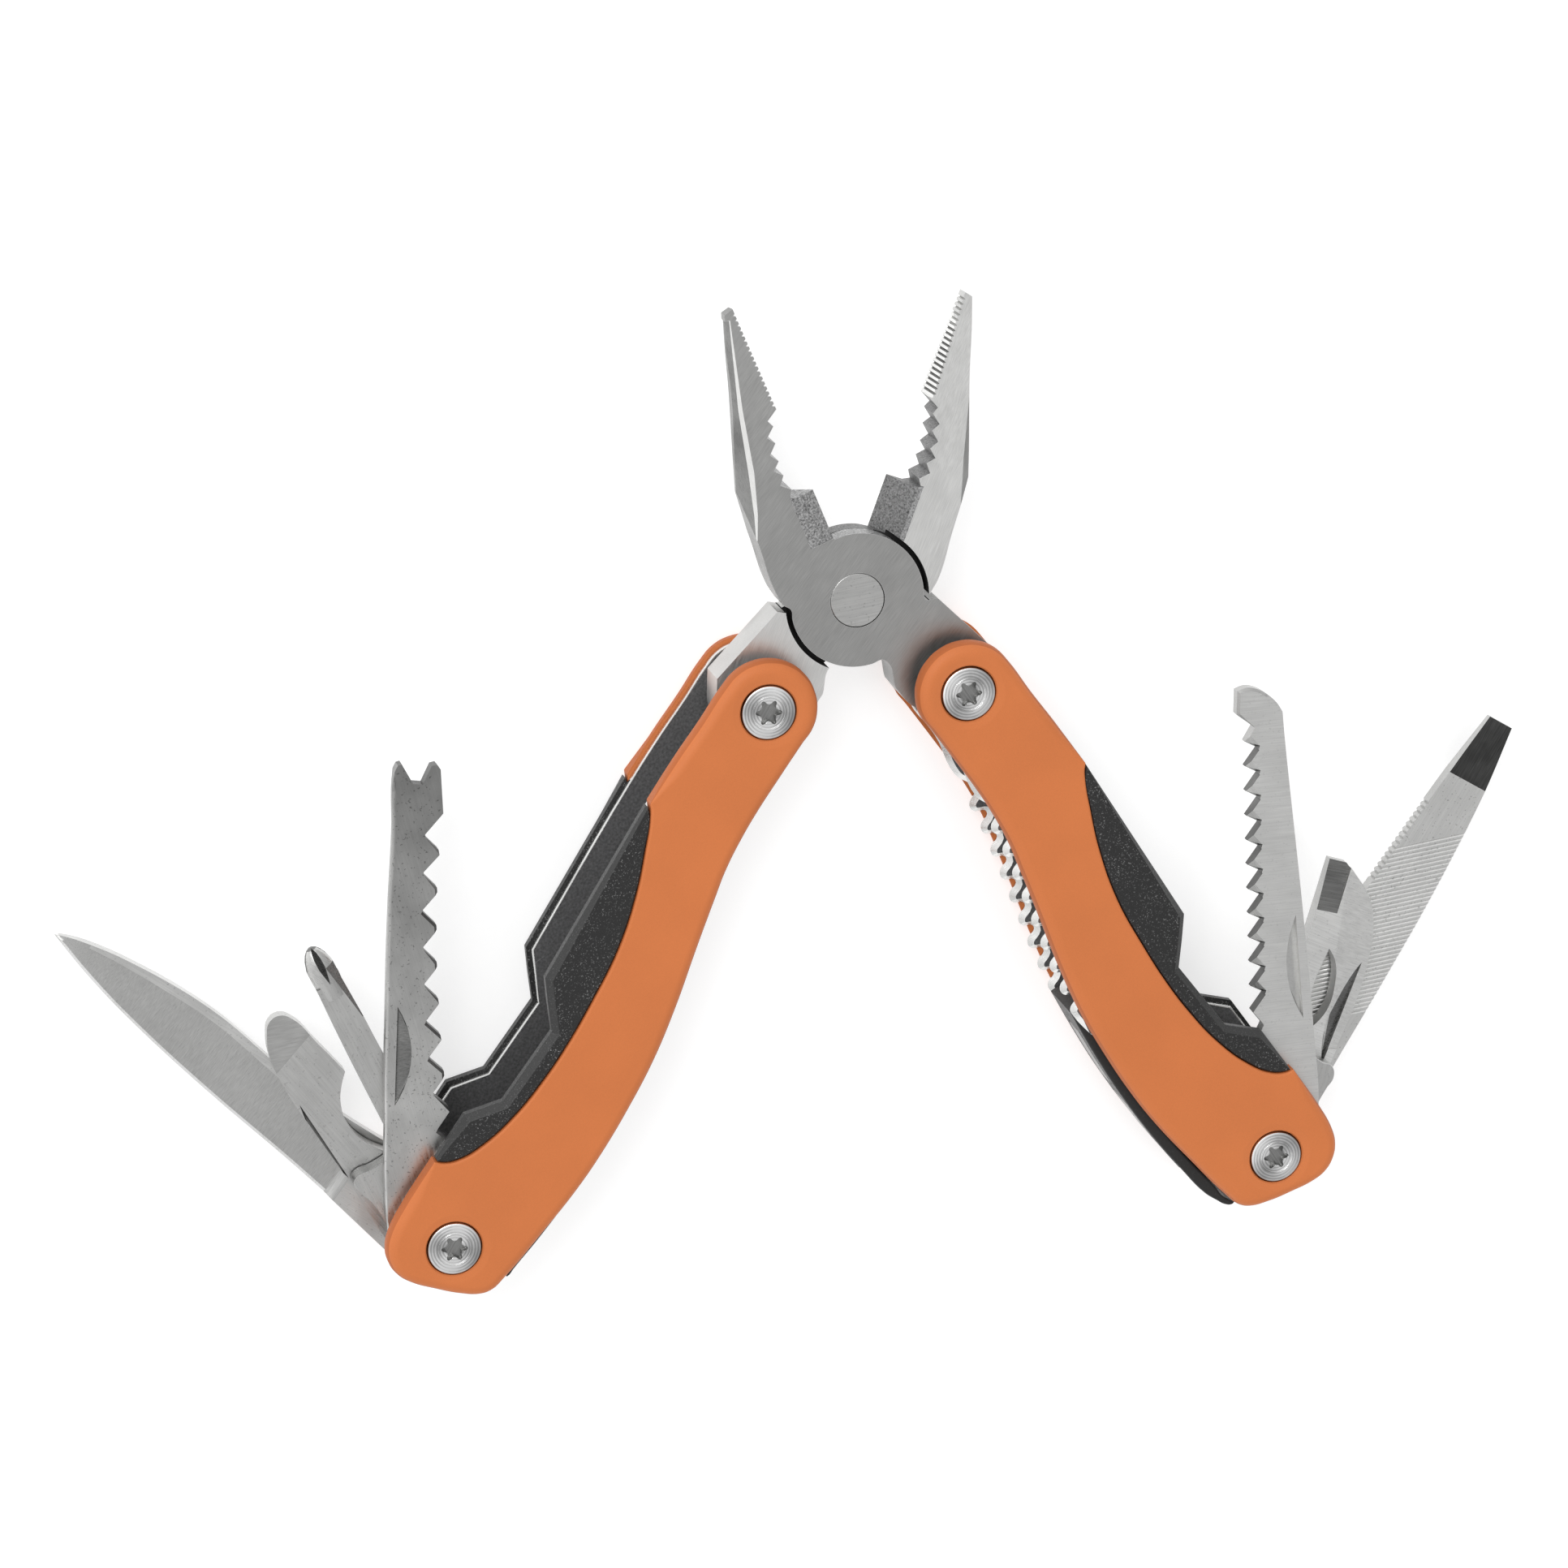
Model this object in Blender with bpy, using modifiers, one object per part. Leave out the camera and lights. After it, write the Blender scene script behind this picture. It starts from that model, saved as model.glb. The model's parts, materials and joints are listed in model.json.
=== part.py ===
"""A pocket multi tool: long-nose pliers, two folding handles and eight fold-out tools.

It lies flat on its back scales, opened as it is shown in a shop: pliers open, handles down and the
tools fanned out. +X is to the right, +Y runs towards the jaw tips and +Z is the front face.
The origin is the middle of the footprint. Outlines are in millimetres; MM turns them into metres.

Frames that the outlines use:
- plier halves: the plier pivot is the origin and the gripping edge runs along +Y
- handles: the head pin is the origin, u runs to the tail pin and v to the open, outer side
- tools: the tail pin is the origin, x runs to the tip and y to the handle's inner side when closed
"""
import math

import bmesh
import bpy
import numpy as np

MM = 0.001
SHARP = True  # third value of an outline point that is a corner; the other points are smooth

# ---------------------------------------------------------------- driving dimensions (mm, degrees)
PIVOT = (5.95, 28.55, 8.9)      # plier pivot, seen from the middle of the footprint
SIDES = {"left": -1, "right": 1}

HEAD_HALF = 3.0                 # half thickness of the plier head
DISC_RADIUS = 10.15             # lapped discs around the rivet
POCKET_RADIUS = 10.5            # room for the other half's disc
LAP_GAP = 0.05                  # half of the gap between the discs
RIVET_RADIUS = 4.1
RIVET_HOLE = 4.18
JAW_LENGTH = 47.8
JAW_TAPER_START = 22.0          # from here to the tip the jaw gets thinner
JAW_TIP_HALF = 0.95
PLIER_ANGLE = {"front": 22.4, "back": -20.1}   # how far each gripping edge stands off +Y
TANG_REACH = 20.85              # plier pivot to handle pin
TANG_ANGLE = -64.2              # direction of the handle pin in the plier half's frame

HANDLE_PITCH = 93.0             # head pin to tail pin
HANDLE_ANGLE = {"left": 238.75, "right": -57.25}
HANDLE_PIN = {"left": (-14.92, -14.5), "right": (15.55, -13.87)}
HEAD_RADIUS = 7.7

SCALE_Z = (6.4, 8.9)            # orange grip scale, front; the back one is its mirror image
INSERT_Z = (6.4, 8.6)
LINER_Z = (5.3, 6.3)
INSIDE_HALF = 5.2               # half of the room between the liners
SCALE_ROUNDING = 1.4
INSERT_ROUNDING = 0.5
INSERT_GAP = 0.15               # between the insert and the scale's curve

POST_RADIUS = 2.5
POST_HOLE = 2.6
POST_END_Z = 7.4                # front end of the barrel nut, under the screw's head
SCREW_HEAD_RADIUS = 4.1
SCREW_HEAD_Z = (7.55, 8.85)
SCREW_RECESS_RADIUS = 4.25
SCREW_RECESS_Z = 7.45
SHANK_RADIUS = 1.4
SHANK_END_Z = -1.0
SHANK_HOLE = 1.5
SHANK_HOLE_END_Z = -2.0
TORX_RADII = (1.8, 1.2)         # lobes and flutes of the screw's star
TORX_DEPTH = 0.9
CUTTER_REACH = 10.0             # a recess cutter ends this far out, clear of the scale
HEAD_WASHER_RADIUS = 5.5

SPINE_THICKNESS = 1.5
SPRING_GAP = 0.12
SPRING_THICKNESS = 0.8
SPRING_STATIONS = (56, 62, 70, 80, 87, 91.5)
SPRING_SLOTS = (63, 95, 0.25)   # the slots between the comb's fingers: from u, to u, half width
LAYERS = {1: (3.15, 5.15), 2: (0.15, 2.85), 3: (-2.65, -0.15), 4: (-5.15, -3.15)}
WASHER_THICKNESS = 0.2
TOOL_WASHER_RADIUS = 4.2
LAYER_SPLITS = (3.0, 0.0, -2.9)

# ---------------------------------------------------------------------------------------- outlines
INNER_EDGE = [(8.5, -7.05), (13.5, -6.8), (18.5, -6.8), (24, -7.2), (28, -7.9), (36, -9.4),
              (46, -11.4), (54.5, -12.6), (62, -13.0), (70, -13.0), (77, -12.5), (85.5, -11.2)]
TAIL = [(91, 10.1), (95.4, 9.8), (97.7, 9.0), (99.5, 7.5), (100.6, 5.4), (100.8, 3.0), (100.1, -1.0),
        (99.1, -4.9), (97.9, -7.6), (96.5, -8.9), (94.2, -9.6)]
HEAD_TO_INSERT = [(6, 8.0), (12.5, 8.5), (20.0, 8.8, SHARP)]
INSERT_CURVE = [(21.5, 7.8), (27, 5.5), (33, 3.4), (41.5, 1.5), (50, 0.9), (58, 0.8), (64, 1.2),
                (70.5, 2.2), (77, 4.3), (80.6, 6.5), (82.0, 8.4)]
INSERT_END = (82.3, 9.7, SHARP)
INSERT_RIM = [(20.6, 8.85, SHARP), (50.4, 8.85, SHARP), (53.6, 6.5, SHARP), (57.2, 3.7, SHARP),
              (69.8, 4.8, SHARP), (74.2, 8.95, SHARP), (82.1, 9.4, SHARP)]
LINER_OUTER = [(6, 7.4), (12.5, 7.9), (20, 8.2), (50.1, 8.2, SHARP), (53.2, 5.9, SHARP),
               (57.0, 3.1, SHARP), (70.0, 4.2, SHARP), (74.5, 8.3, SHARP), (86, 9.1)]
LINER_INSET = 0.6
LINER_HEAD = [(15.5, -7.3), (8.5, -6.5), (2.5, -7.0)]
SCALLOPS = {"first": 19.6, "pitch": 4.05, "count": 9, "gullet": 0.2}
CRESTS = {"left": -0.35, "right": -1.0}   # how far the scallops stand out of the inner edge
SCALLOPS_END = 57.0             # the inner edge is plain from here to the tail
SPINE_LINE = [(54, -13.3), (62, -13.8), (70, -13.95), (80, -13.45), (87, -12.6), (93, -11.6)]
SPINE_END = [(95.2, -11.1), (96.4, -10.5, SHARP), (96.1, -10.1, SHARP)]
SPINE_WINDOWS = [(58.5, 69.5, 2.6), (73.0, 81.0, 3.6), (83.0, 88.0, 3.6)]  # from u, to u, half height

JAW_OUTER = [(-10.35, 4.15, SHARP), (-10.75, 6.7), (-10.3, 14.0), (-9.95, 22.2, SHARP), (-8.5, 26.4),
             (-5.1, 36.0), (-3.0, 43.0), (-1.5, 47.5, SHARP), (0.0, JAW_LENGTH, SHARP)]
CUTTER = [(-3.3, 18.8, SHARP), (-2.2, 18.3, SHARP), (-0.1, 18.3, SHARP), (-0.1, 10.13, SHARP)]
COARSE_TEETH = [(31.7, 0.0), (29.6, 1.4), (27.2, 2.1), (24.6, 2.7), (22.4, 2.9), (19.9, 2.6)]
COARSE_TOOTH_DEPTH = 1.15
DISC_TOP = (78, -20, 6)         # the disc's bare arcs: from, to (degrees) and points
DISC_BOTTOM = (-100, -198, 5)
TANG_TOP = [(8.1, 6.5), (9.4, 7.8, SHARP), (17.0, 6.8)]
TANG_END_RADIUS = 6.5
TANG_END = (75, -100, 9)
TANG_BOTTOM = [(17.2, -6.9), (13.6, -6.4, SHARP), (9.4, -4.3)]

KNIFE = [(74.6, 6.5, SHARP), (68.5, 8.2), (60.5, 9.1), (53, 9.35), (45.5, 8.9), (38, 7.7), (28, 6.2),
         (17, 5.8), (8, 6.3), (2.5, 6.6), (-3.5, 5.4), (-6.6, 0), (-5.4, -4.6), (-1.5, -7.6),
         (4.0, -8.4, SHARP), (14.2, -6.2), (25.3, -4.3), (39.6, -2.1), (54.2, 0.6), (62, 2.4), (69.8, 4.7)]
CAN_OPENER = [(42.9, 0.8), (42.7, 2.6), (41.0, 3.7), (36, 4.1), (29.5, 4.4, SHARP), (28.2, 2.7),
              (26.2, 0.9), (22.8, -0.5), (19.5, -0.5), (15.5, 1.0), (11, 3.8), (5.5, 5.8), (0, 6.4),
              (-4.6, 4.4), (-6.4, 0), (-5.0, -4.4), (0, -7.6), (6.5, -7.4), (14.9, -6.1), (25, -5.0),
              (33.9, -3.9), (38.5, -2.6), (41.4, -0.9)]
PHILLIPS = [(50.4, 1.7), (49.0, 2.9), (44.6, 3.6), (37, 3.8, SHARP), (29.9, 3.9), (19, 4.6), (9, 6.0),
            (2, 6.4), (-4.0, 5.0), (-6.4, 0), (-5.0, -4.4), (0, -7.2), (7.8, -7.4), (10.1, -7.7),
            (12.4, -8.5), (14.2, -8.9), (15.0, -8.2), (15.0, -5.0), (15.6, -2.2), (18.0, -0.9, SHARP),
            (31.3, -0.9), (37.6, -0.8, SHARP), (46.9, -0.5), (49.0, 0.3)]
SCALER_BACK = [(3, 6.4), (-3.6, 5.2), (-6.4, 0), (-5.6, -4.6), (-2.0, -8.0), (4.3, -9.0), (20.9, -8.0),
               (37.3, -6.4), (53.5, -4.5), (64.2, -3.0), (73.7, -1.9), (74.8, -1.3, SHARP)]
SCALER_FORK = [(71.5, 1.0, SHARP), (71.1, 2.3, SHARP), (74.0, 4.3, SHARP), (73.3, 4.9, SHARP),
               (66.6, 4.7, SHARP)]
SCALER_TEETH = {"first": 60.7, "pitch": 5.72, "count": 9}
SCALER_TIPS = (1.4, 2.2, 30.0)      # tooth tips lie on low + rise * ((x - start) / SCALER_RUN) ** 2
SCALER_GULLETS = (-0.55, 1.95, 30.0)
SCALER_RUN = 30.7
SAW_BACK = [(12, 4.6), (3, 6.2), (-3.6, 5.2), (-6.4, 0), (-5.4, -4.6), (-1.5, -7.4), (5.1, -8.2),
            (19.1, -7.3), (36, -5.7), (67.1, -2.3), (70.7, -2.0, SHARP), (72.3, -1.0), (73.6, 0.4),
            (74.6, 2.1), (74.9, 3.6), (74.5, 5.1, SHARP), (70.8, 5.2, SHARP), (68.6, 2.4, SHARP)]
SAW_TEETH = {"first": 66.3, "pitch": 3.95, "count": 12, "depth": 1.8}
SAW_TIP_LINE = [(22.0, 2.5), (66.0, 3.8)]
SAW_HEEL = (20.6, 0.8, SHARP)
OPENER = [(45.8, 1.8, SHARP), (45.7, -1.1, SHARP), (43.9, -3.4), (41.5, -6.1), (36.7, -8.6),
          (31.2, -9.5), (25.5, -9.6), (15.9, -8.5), (9, -7.8), (0, -7.4), (-5.2, -4.4), (-6.4, 0),
          (-4.4, 4.6), (0.5, 6.2), (7, 5.2), (15, 3.0), (24.8, 2.1), (36, 1.8)]
OPENER_HOLE = [(32.0, -2.2, SHARP), (30.3, -3.8), (26.5, -5.0), (22.0, -4.9), (18.2, -2.8, SHARP),
               (25.0, -1.5)]
FILE = [(74.7, 1.2, SHARP), (74.7, -3.1, SHARP), (63.7, -4.6), (46.5, -6.0), (30, -6.5), (14.2, -6.7),
        (5, -7.0), (-2.5, -6.4), (-6.2, -2.2), (-5.6, 3.2), (-1.5, 6.2), (6, 5.9), (16, 5.4),
        (30, 5.0), (45.4, 4.1), (53, 3.5), (64.1, 2.5)]
LANYARD = [(16.6, 0.5), (15.6, 3.6), (12, 5.4), (6, 6.2), (0, 6.4), (-4.6, 4.4), (-6.4, 0), (-5.0, -4.4),
           (0, -6.8), (7.5, -6.9), (10.6, -7.6), (12.6, -8.2), (14.3, -7.4), (14.8, -5.2), (16.2, -2.4)]
LANYARD_HOLE = (10.6, -0.6, 2.7)


def circle(x, y, radius, count=24):
    """A round loop whose points are all corners, so that it is a plain polygon."""
    steps = (2 * math.pi * i / count for i in range(count))
    return [(x + radius * math.cos(a), y + radius * math.sin(a), SHARP) for a in steps]


def arc(radius, start, stop, count, centre=(0.0, 0.0)):
    """Smooth points along an arc, angles in degrees."""
    angles = np.radians(np.linspace(start, stop, count))
    return [(centre[0] + radius * math.cos(a), centre[1] + radius * math.sin(a)) for a in angles]


def edge_at(line, u):
    return float(np.interp(u, [p[0] for p in line], [p[1] for p in line]))


def raised(line, height):
    return [(u, v + height) for u, v in line]


def scale_outline():
    head = arc(HEAD_RADIUS, -75, -270, 10)
    return head + HEAD_TO_INSERT + INSERT_CURVE + [INSERT_END] + TAIL + INNER_EDGE[::-1]


def insert_outline():
    gap = INSERT_GAP
    return INSERT_RIM + [(u - gap / 2, v + gap) for u, v in INSERT_CURVE[::-1]]


def liner_outline(hand):
    """The scale's shape a little smaller, with a scalloped upper half on the inner edge."""
    inset = LINER_INSET
    tail = [(u - inset, v - inset if v > 0 else v + inset) for u, v in TAIL]
    inner = [(u, v + inset) for u, v in INNER_EDGE if u > SCALLOPS_END][::-1]
    waves = []
    for i in reversed(range(SCALLOPS["count"])):
        gullet = SCALLOPS["first"] + i * SCALLOPS["pitch"]
        crest = gullet + SCALLOPS["pitch"] / 2
        waves.append((crest, edge_at(INNER_EDGE, crest) + CRESTS[hand]))
        waves.append((gullet, edge_at(INNER_EDGE, gullet) + SCALLOPS["gullet"]))
    inner += waves + LINER_HEAD
    return arc(HEAD_RADIUS - inset, -75, -270, 10) + LINER_OUTER + tail + inner


def spine_outline():
    top = raised(SPINE_LINE, SPINE_THICKNESS)[::-1]
    first, last = SPINE_LINE[0] + (SHARP,), top[-1] + (SHARP,)
    return [first] + SPINE_LINE[1:] + SPINE_END + top[:-1] + [last]


def spring_outline():
    line = [(u, edge_at(SPINE_LINE, u)) for u in SPRING_STATIONS]
    low = raised(line, SPINE_THICKNESS + SPRING_GAP)
    high = raised(line, SPINE_THICKNESS + SPRING_GAP + SPRING_THICKNESS)[::-1]
    ends = [low[0] + (SHARP,)], [low[-1] + (SHARP,), high[0] + (SHARP,)], [high[-1] + (SHARP,)]
    return ends[0] + low[1:-1] + ends[1] + high[1:-1] + ends[2]


def plier_outline():
    """One plier half: jaw, disc and tang, with the tang at the right."""
    angle = math.radians(TANG_ANGLE)

    def on_tang(points):
        turned_points = []
        for point in points:
            p, q = point[0], point[1]
            x = p * math.cos(angle) - q * math.sin(angle)
            y = p * math.sin(angle) + q * math.cos(angle)
            turned_points.append((x, y) + tuple(point[2:]))
        return turned_points

    teeth = []
    for (near, low), (far, high) in zip(COARSE_TEETH, COARSE_TEETH[1:]):
        valley = ((near + far) / 2, (low + high) / 2 + COARSE_TOOTH_DEPTH)
        teeth += [(-low, near, SHARP), (-valley[1], valley[0], SHARP)]
    teeth += [(-COARSE_TEETH[-1][1], COARSE_TEETH[-1][0], SHARP), *CUTTER]
    disc_top = arc(DISC_RADIUS, *DISC_TOP)
    end = arc(TANG_END_RADIUS, *TANG_END, centre=(TANG_REACH, 0.0))
    disc_bottom = arc(DISC_RADIUS, *DISC_BOTTOM)
    return disc_top + on_tang(TANG_TOP + end + TANG_BOTTOM) + disc_bottom + JAW_OUTER + teeth


def scaler_outline():
    teeth = []
    for i in range(SCALER_TEETH["count"]):
        tip = SCALER_TEETH["first"] - i * SCALER_TEETH["pitch"]
        for x, (low, rise, start) in ((tip + SCALER_TEETH["pitch"] / 2, SCALER_GULLETS), (tip, SCALER_TIPS)):
            teeth.append((x, low + rise * ((x - start) / SCALER_RUN) ** 2, SHARP))
    return SCALER_BACK + SCALER_FORK + teeth


def saw_outline():
    teeth = []
    for i in range(SAW_TEETH["count"]):
        tip = SAW_TEETH["first"] - i * SAW_TEETH["pitch"]
        height = edge_at(SAW_TIP_LINE, tip)
        gullet = tip + SAW_TEETH["pitch"] / 2
        if i:
            teeth.append((gullet, height - SAW_TEETH["depth"], SHARP))
        teeth.append((tip, height, SHARP))
    return SAW_BACK + teeth + [SAW_HEEL]


def torx_outline():
    ring = (math.radians(30 * i) for i in range(12))
    return [(r * math.cos(a), r * math.sin(a), SHARP)
            for r, a in zip(TORX_RADII * 6, ring)]


# ------------------------------------------------------------------------------- modelling helpers
def clear_scene():
    for thing in list(bpy.data.objects):
        bpy.data.objects.remove(thing, do_unlink=True)


def collection(name):
    group = bpy.data.collections.new(name)
    bpy.context.scene.collection.children.link(group)
    return group


def material(name, colour, roughness, metallic):
    made = bpy.data.materials.new(name)
    made.use_nodes = True
    shader = made.node_tree.nodes["Principled BSDF"]
    shader.inputs["Base Color"].default_value = (*colour, 1)
    shader.inputs["Roughness"].default_value = roughness
    shader.inputs["Metallic"].default_value = metallic
    return made


def place(thing, group, parent, finish=None):
    group.objects.link(thing)
    thing.parent = parent
    if finish:
        thing.data.materials.append(finish)
    return thing


def flat(name, loops, z, side=1, steps=2, rounding=None):
    """A plate from outlines: a filled 2D curve, made a mesh. rounding is (z of the face, width)."""
    curve = bpy.data.curves.new(name, "CURVE")
    curve.dimensions = "2D"
    curve.fill_mode = "BOTH"
    curve.extrude = (z[1] - z[0]) / 2
    curve.resolution_u = steps
    for loop in loops:
        spline = curve.splines.new("BEZIER")
        spline.bezier_points.add(len(loop) - 1)
        spline.use_cyclic_u = True
        for knot, point in zip(spline.bezier_points, loop):
            knot.co = (point[0], side * point[1], 0)
            kind = "VECTOR" if len(point) == 3 else "AUTO"
            knot.handle_left_type = knot.handle_right_type = kind
    guide = bpy.data.objects.new(name + "_outline", curve)
    bpy.context.scene.collection.objects.link(guide)
    view = bpy.context.evaluated_depsgraph_get()
    mesh = bpy.data.meshes.new_from_object(guide.evaluated_get(view))
    bpy.data.objects.remove(guide)
    mesh.name = name
    work = bmesh.new()
    work.from_mesh(mesh)
    bmesh.ops.remove_doubles(work, verts=work.verts, dist=0.001)
    bmesh.ops.translate(work, verts=work.verts, vec=(0, 0, (z[0] + z[1]) / 2))
    bmesh.ops.dissolve_limit(work, angle_limit=0.001, verts=work.verts, edges=work.edges,
                             delimit={"NORMAL"})
    bmesh.ops.recalc_face_normals(work, faces=work.faces)
    if rounding:
        level, width = rounding
        rim = [e for e in work.edges if all(abs(v.co.z - level) < 0.01 for v in e.verts)
               and e.calc_face_angle() > 0.5]
        bmesh.ops.bevel(work, geom=rim, offset=width, segments=1, profile=0.5, affect="EDGES",
                        clamp_overlap=False)
    bmesh.ops.scale(work, vec=(MM, MM, MM), verts=work.verts)
    work.to_mesh(mesh)
    work.free()
    return bpy.data.objects.new(name, mesh)


def turned(name, profile, segments=32):
    """A turned piece. The profile (radius, height) runs down its outer side, top to bottom."""
    mesh = bpy.data.meshes.new(name)
    corners = [(r * MM, 0, z * MM) for r, z in profile]
    mesh.from_pydata(corners, [(i, i + 1) for i in range(len(corners) - 1)], [])
    piece = bpy.data.objects.new(name, mesh)
    screw = piece.modifiers.new("turn", "SCREW")
    screw.steps = screw.render_steps = segments
    screw.use_merge_vertices = True
    screw.merge_threshold = 1e-6
    screw.use_smooth_shade = False
    return piece


def block(name, low, high, turn_x=0.0, anchor=(0, 0, 0)):
    """A box between two corners, turned about X (degrees) around an anchor point."""
    work = bmesh.new()
    bmesh.ops.create_cube(work, size=1)
    for vert in work.verts:
        for i in range(3):
            vert.co[i] = (low[i] if vert.co[i] < 0 else high[i]) * MM
    c, s = math.cos(math.radians(turn_x)), math.sin(math.radians(turn_x))
    for vert in work.verts:
        y, z = vert.co.y - anchor[1] * MM, vert.co.z - anchor[2] * MM
        vert.co.y, vert.co.z = anchor[1] * MM + c * y - s * z, anchor[2] * MM + s * y + c * z
    mesh = bpy.data.meshes.new(name)
    work.to_mesh(mesh)
    work.free()
    return bpy.data.objects.new(name, mesh)


def cut(piece, cutter, group, at=(0, 0, 0)):
    """Take the cutter's shape out of the piece; both stand in the same parent's frame."""
    group.objects.link(cutter)
    cutter.parent = piece.parent
    cutter.rotation_euler = piece.rotation_euler
    cutter.location = [a + b for a, b in zip(piece.location, at)]
    cutter.hide_render = True
    cutter.display_type = "WIRE"
    change = piece.modifiers.new("cut", "BOOLEAN")
    change.operation = "DIFFERENCE"
    change.solver = "EXACT"
    change.object = cutter
    return piece


def empty(name, group, parent, location, turn=0.0):
    axis = bpy.data.objects.new(name, None)
    group.objects.link(axis)
    axis.parent = parent
    axis.location = [c * MM for c in location]
    axis.rotation_euler = (0, 0, math.radians(turn))
    return axis


# ---------------------------------------------------------------------------------------- the parts
def build_plier_half(name, side, turn, disc_above, pivot, finish, parts, cutters):
    """side is 1 with the tang at the right. disc_above says that its disc is the front one."""
    holes = [circle(0, 0, RIVET_HOLE, 48)]
    angle = math.radians(TANG_ANGLE)
    holes.append(circle(TANG_REACH * math.cos(angle), TANG_REACH * math.sin(angle), POST_HOLE))
    mirrored = [[(side * p[0], *p[1:]) for p in loop] for loop in [plier_outline()] + holes]
    half = flat(name, mirrored, (-HEAD_HALF, HEAD_HALF))
    half.rotation_euler.z = math.radians(turn)
    place(half, parts, pivot, finish)
    beyond = HEAD_HALF + 1
    pocket_z = (-beyond, LAP_GAP) if disc_above else (-LAP_GAP, beyond)
    cut(half, flat(name + "_pocket", [circle(0, 0, POCKET_RADIUS, 64)], pocket_z), cutters)
    slope = math.degrees(math.atan((HEAD_HALF - JAW_TIP_HALF) / (JAW_LENGTH - JAW_TAPER_START)))
    for face, word in ((1, "front"), (-1, "back")):
        low = (-20, JAW_TAPER_START, HEAD_HALF if face > 0 else -HEAD_HALF - 6)
        high = (20, 60, HEAD_HALF + 6 if face > 0 else -HEAD_HALF)
        wedge = block(f"{name}_{word}_taper", low, high, -face * slope,
                      (0, JAW_TAPER_START, face * HEAD_HALF))
        cut(half, wedge, cutters)
    return half


def build_head(pivot, steel, parts, cutters):
    build_plier_half("front_jaw", 1, PLIER_ANGLE["front"], True, pivot, steel["brushed"], parts, cutters)
    build_plier_half("back_jaw", -1, PLIER_ANGLE["back"], False, pivot, steel["brushed"], parts, cutters)
    reach = HEAD_HALF - 0.02
    profile = [(0, reach), (RIVET_RADIUS, reach), (RIVET_RADIUS, -reach), (0, -reach)]
    place(turned("plier_rivet", profile, 48), parts, pivot, steel["polished"])


def build_pin(name, u, handle, steel, parts, cutters):
    """A barrel nut through the handle, headed at the back, and the Torx screw in its front end."""
    low, high = SCREW_HEAD_Z
    barrel = turned(name + "_barrel", [
        (0, SHANK_HOLE_END_Z), (SHANK_HOLE, SHANK_HOLE_END_Z), (SHANK_HOLE, POST_END_Z),
        (POST_RADIUS, POST_END_Z), (POST_RADIUS, -low),
        (SCREW_HEAD_RADIUS, -low), (SCREW_HEAD_RADIUS, -high), (0, -high)])
    screw = turned(name + "_screw", [
        (0, high), (SCREW_HEAD_RADIUS, high), (SCREW_HEAD_RADIUS, low), (SHANK_RADIUS, low),
        (SHANK_RADIUS, SHANK_END_Z), (0, SHANK_END_Z)])
    for piece in (barrel, screw):
        piece.location.x = u * MM
        place(piece, parts, handle, steel["polished"])
    cut(screw, flat(name + "_torx", [torx_outline()], (high - TORX_DEPTH, high + 1)), cutters)


def build_shells(hand, side, handle, finishes, parts, cutters):
    """Both sides of a handle: grip scale, insert and liner."""
    pins = (0, HANDLE_PITCH)
    for face, word in ((1, "front"), (-1, "back")):
        def span(z):
            return tuple(sorted((face * z[0], face * z[1])))
        scale = flat(f"{hand}_{word}_scale", [scale_outline()], span(SCALE_Z), side,
                     rounding=(face * SCALE_Z[1], SCALE_ROUNDING))
        place(scale, parts, handle, finishes["orange"])
        for end, u in zip(("head", "tail"), pins):
            profile = [(0, CUTTER_REACH), (SCREW_RECESS_RADIUS, CUTTER_REACH),
                       (SCREW_RECESS_RADIUS, SCREW_RECESS_Z), (POST_HOLE, SCREW_RECESS_Z),
                       (POST_HOLE, LINER_Z[0]), (0, LINER_Z[0])]
            if face < 0:
                profile = [(r, -z) for r, z in profile[::-1]]
            cut(scale, turned(f"{hand}_{word}_{end}_recess", profile, 28), cutters, (u * MM, 0, 0))
        insert = flat(f"{hand}_{word}_insert", [insert_outline()], span(INSERT_Z), side,
                      rounding=(face * INSERT_Z[1], INSERT_ROUNDING))
        place(insert, parts, handle, finishes["black"])
        holes = [circle(u, 0, POST_HOLE) for u in pins]
        liner = flat(f"{hand}_{word}_liner", [liner_outline(hand)] + holes, span(LINER_Z), side)
        place(liner, parts, handle, finishes["blackened"])
        ring = [circle(0, 0, HEAD_WASHER_RADIUS), circle(0, 0, POST_HOLE)]
        washer = flat(f"{hand}_{word}_head_washer", ring, span((HEAD_HALF + 0.1, INSIDE_HALF)), side)
        place(washer, parts, handle, finishes["polished"])


def build_spring(hand, side, handle, finishes, parts, cutters):
    """The black spine along the inner edge and the comb spring that lies on it."""
    spine = flat(hand + "_spine", [spine_outline()], (-INSIDE_HALF, INSIDE_HALF), side)
    place(spine, parts, handle, finishes["black"])
    for i, (start, stop, half) in enumerate(SPINE_WINDOWS):
        low, high = sorted((side * -20, side * -8))
        cut(spine, block(f"{hand}_window_{i}", (start, low, -half), (stop, high, half)), cutters)
    spring = flat(hand + "_spring", [spring_outline()], (-INSIDE_HALF + 0.1, INSIDE_HALF - 0.1), side)
    place(spring, parts, handle, finishes["polished"])
    for i, z in enumerate(LAYER_SPLITS):
        low, high = sorted((side * -20, side * -6))
        start, stop, half = SPRING_SLOTS
        cut(spring, block(f"{hand}_slot_{i}", (start, low, z - half), (stop, high, z + half)), cutters)


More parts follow.
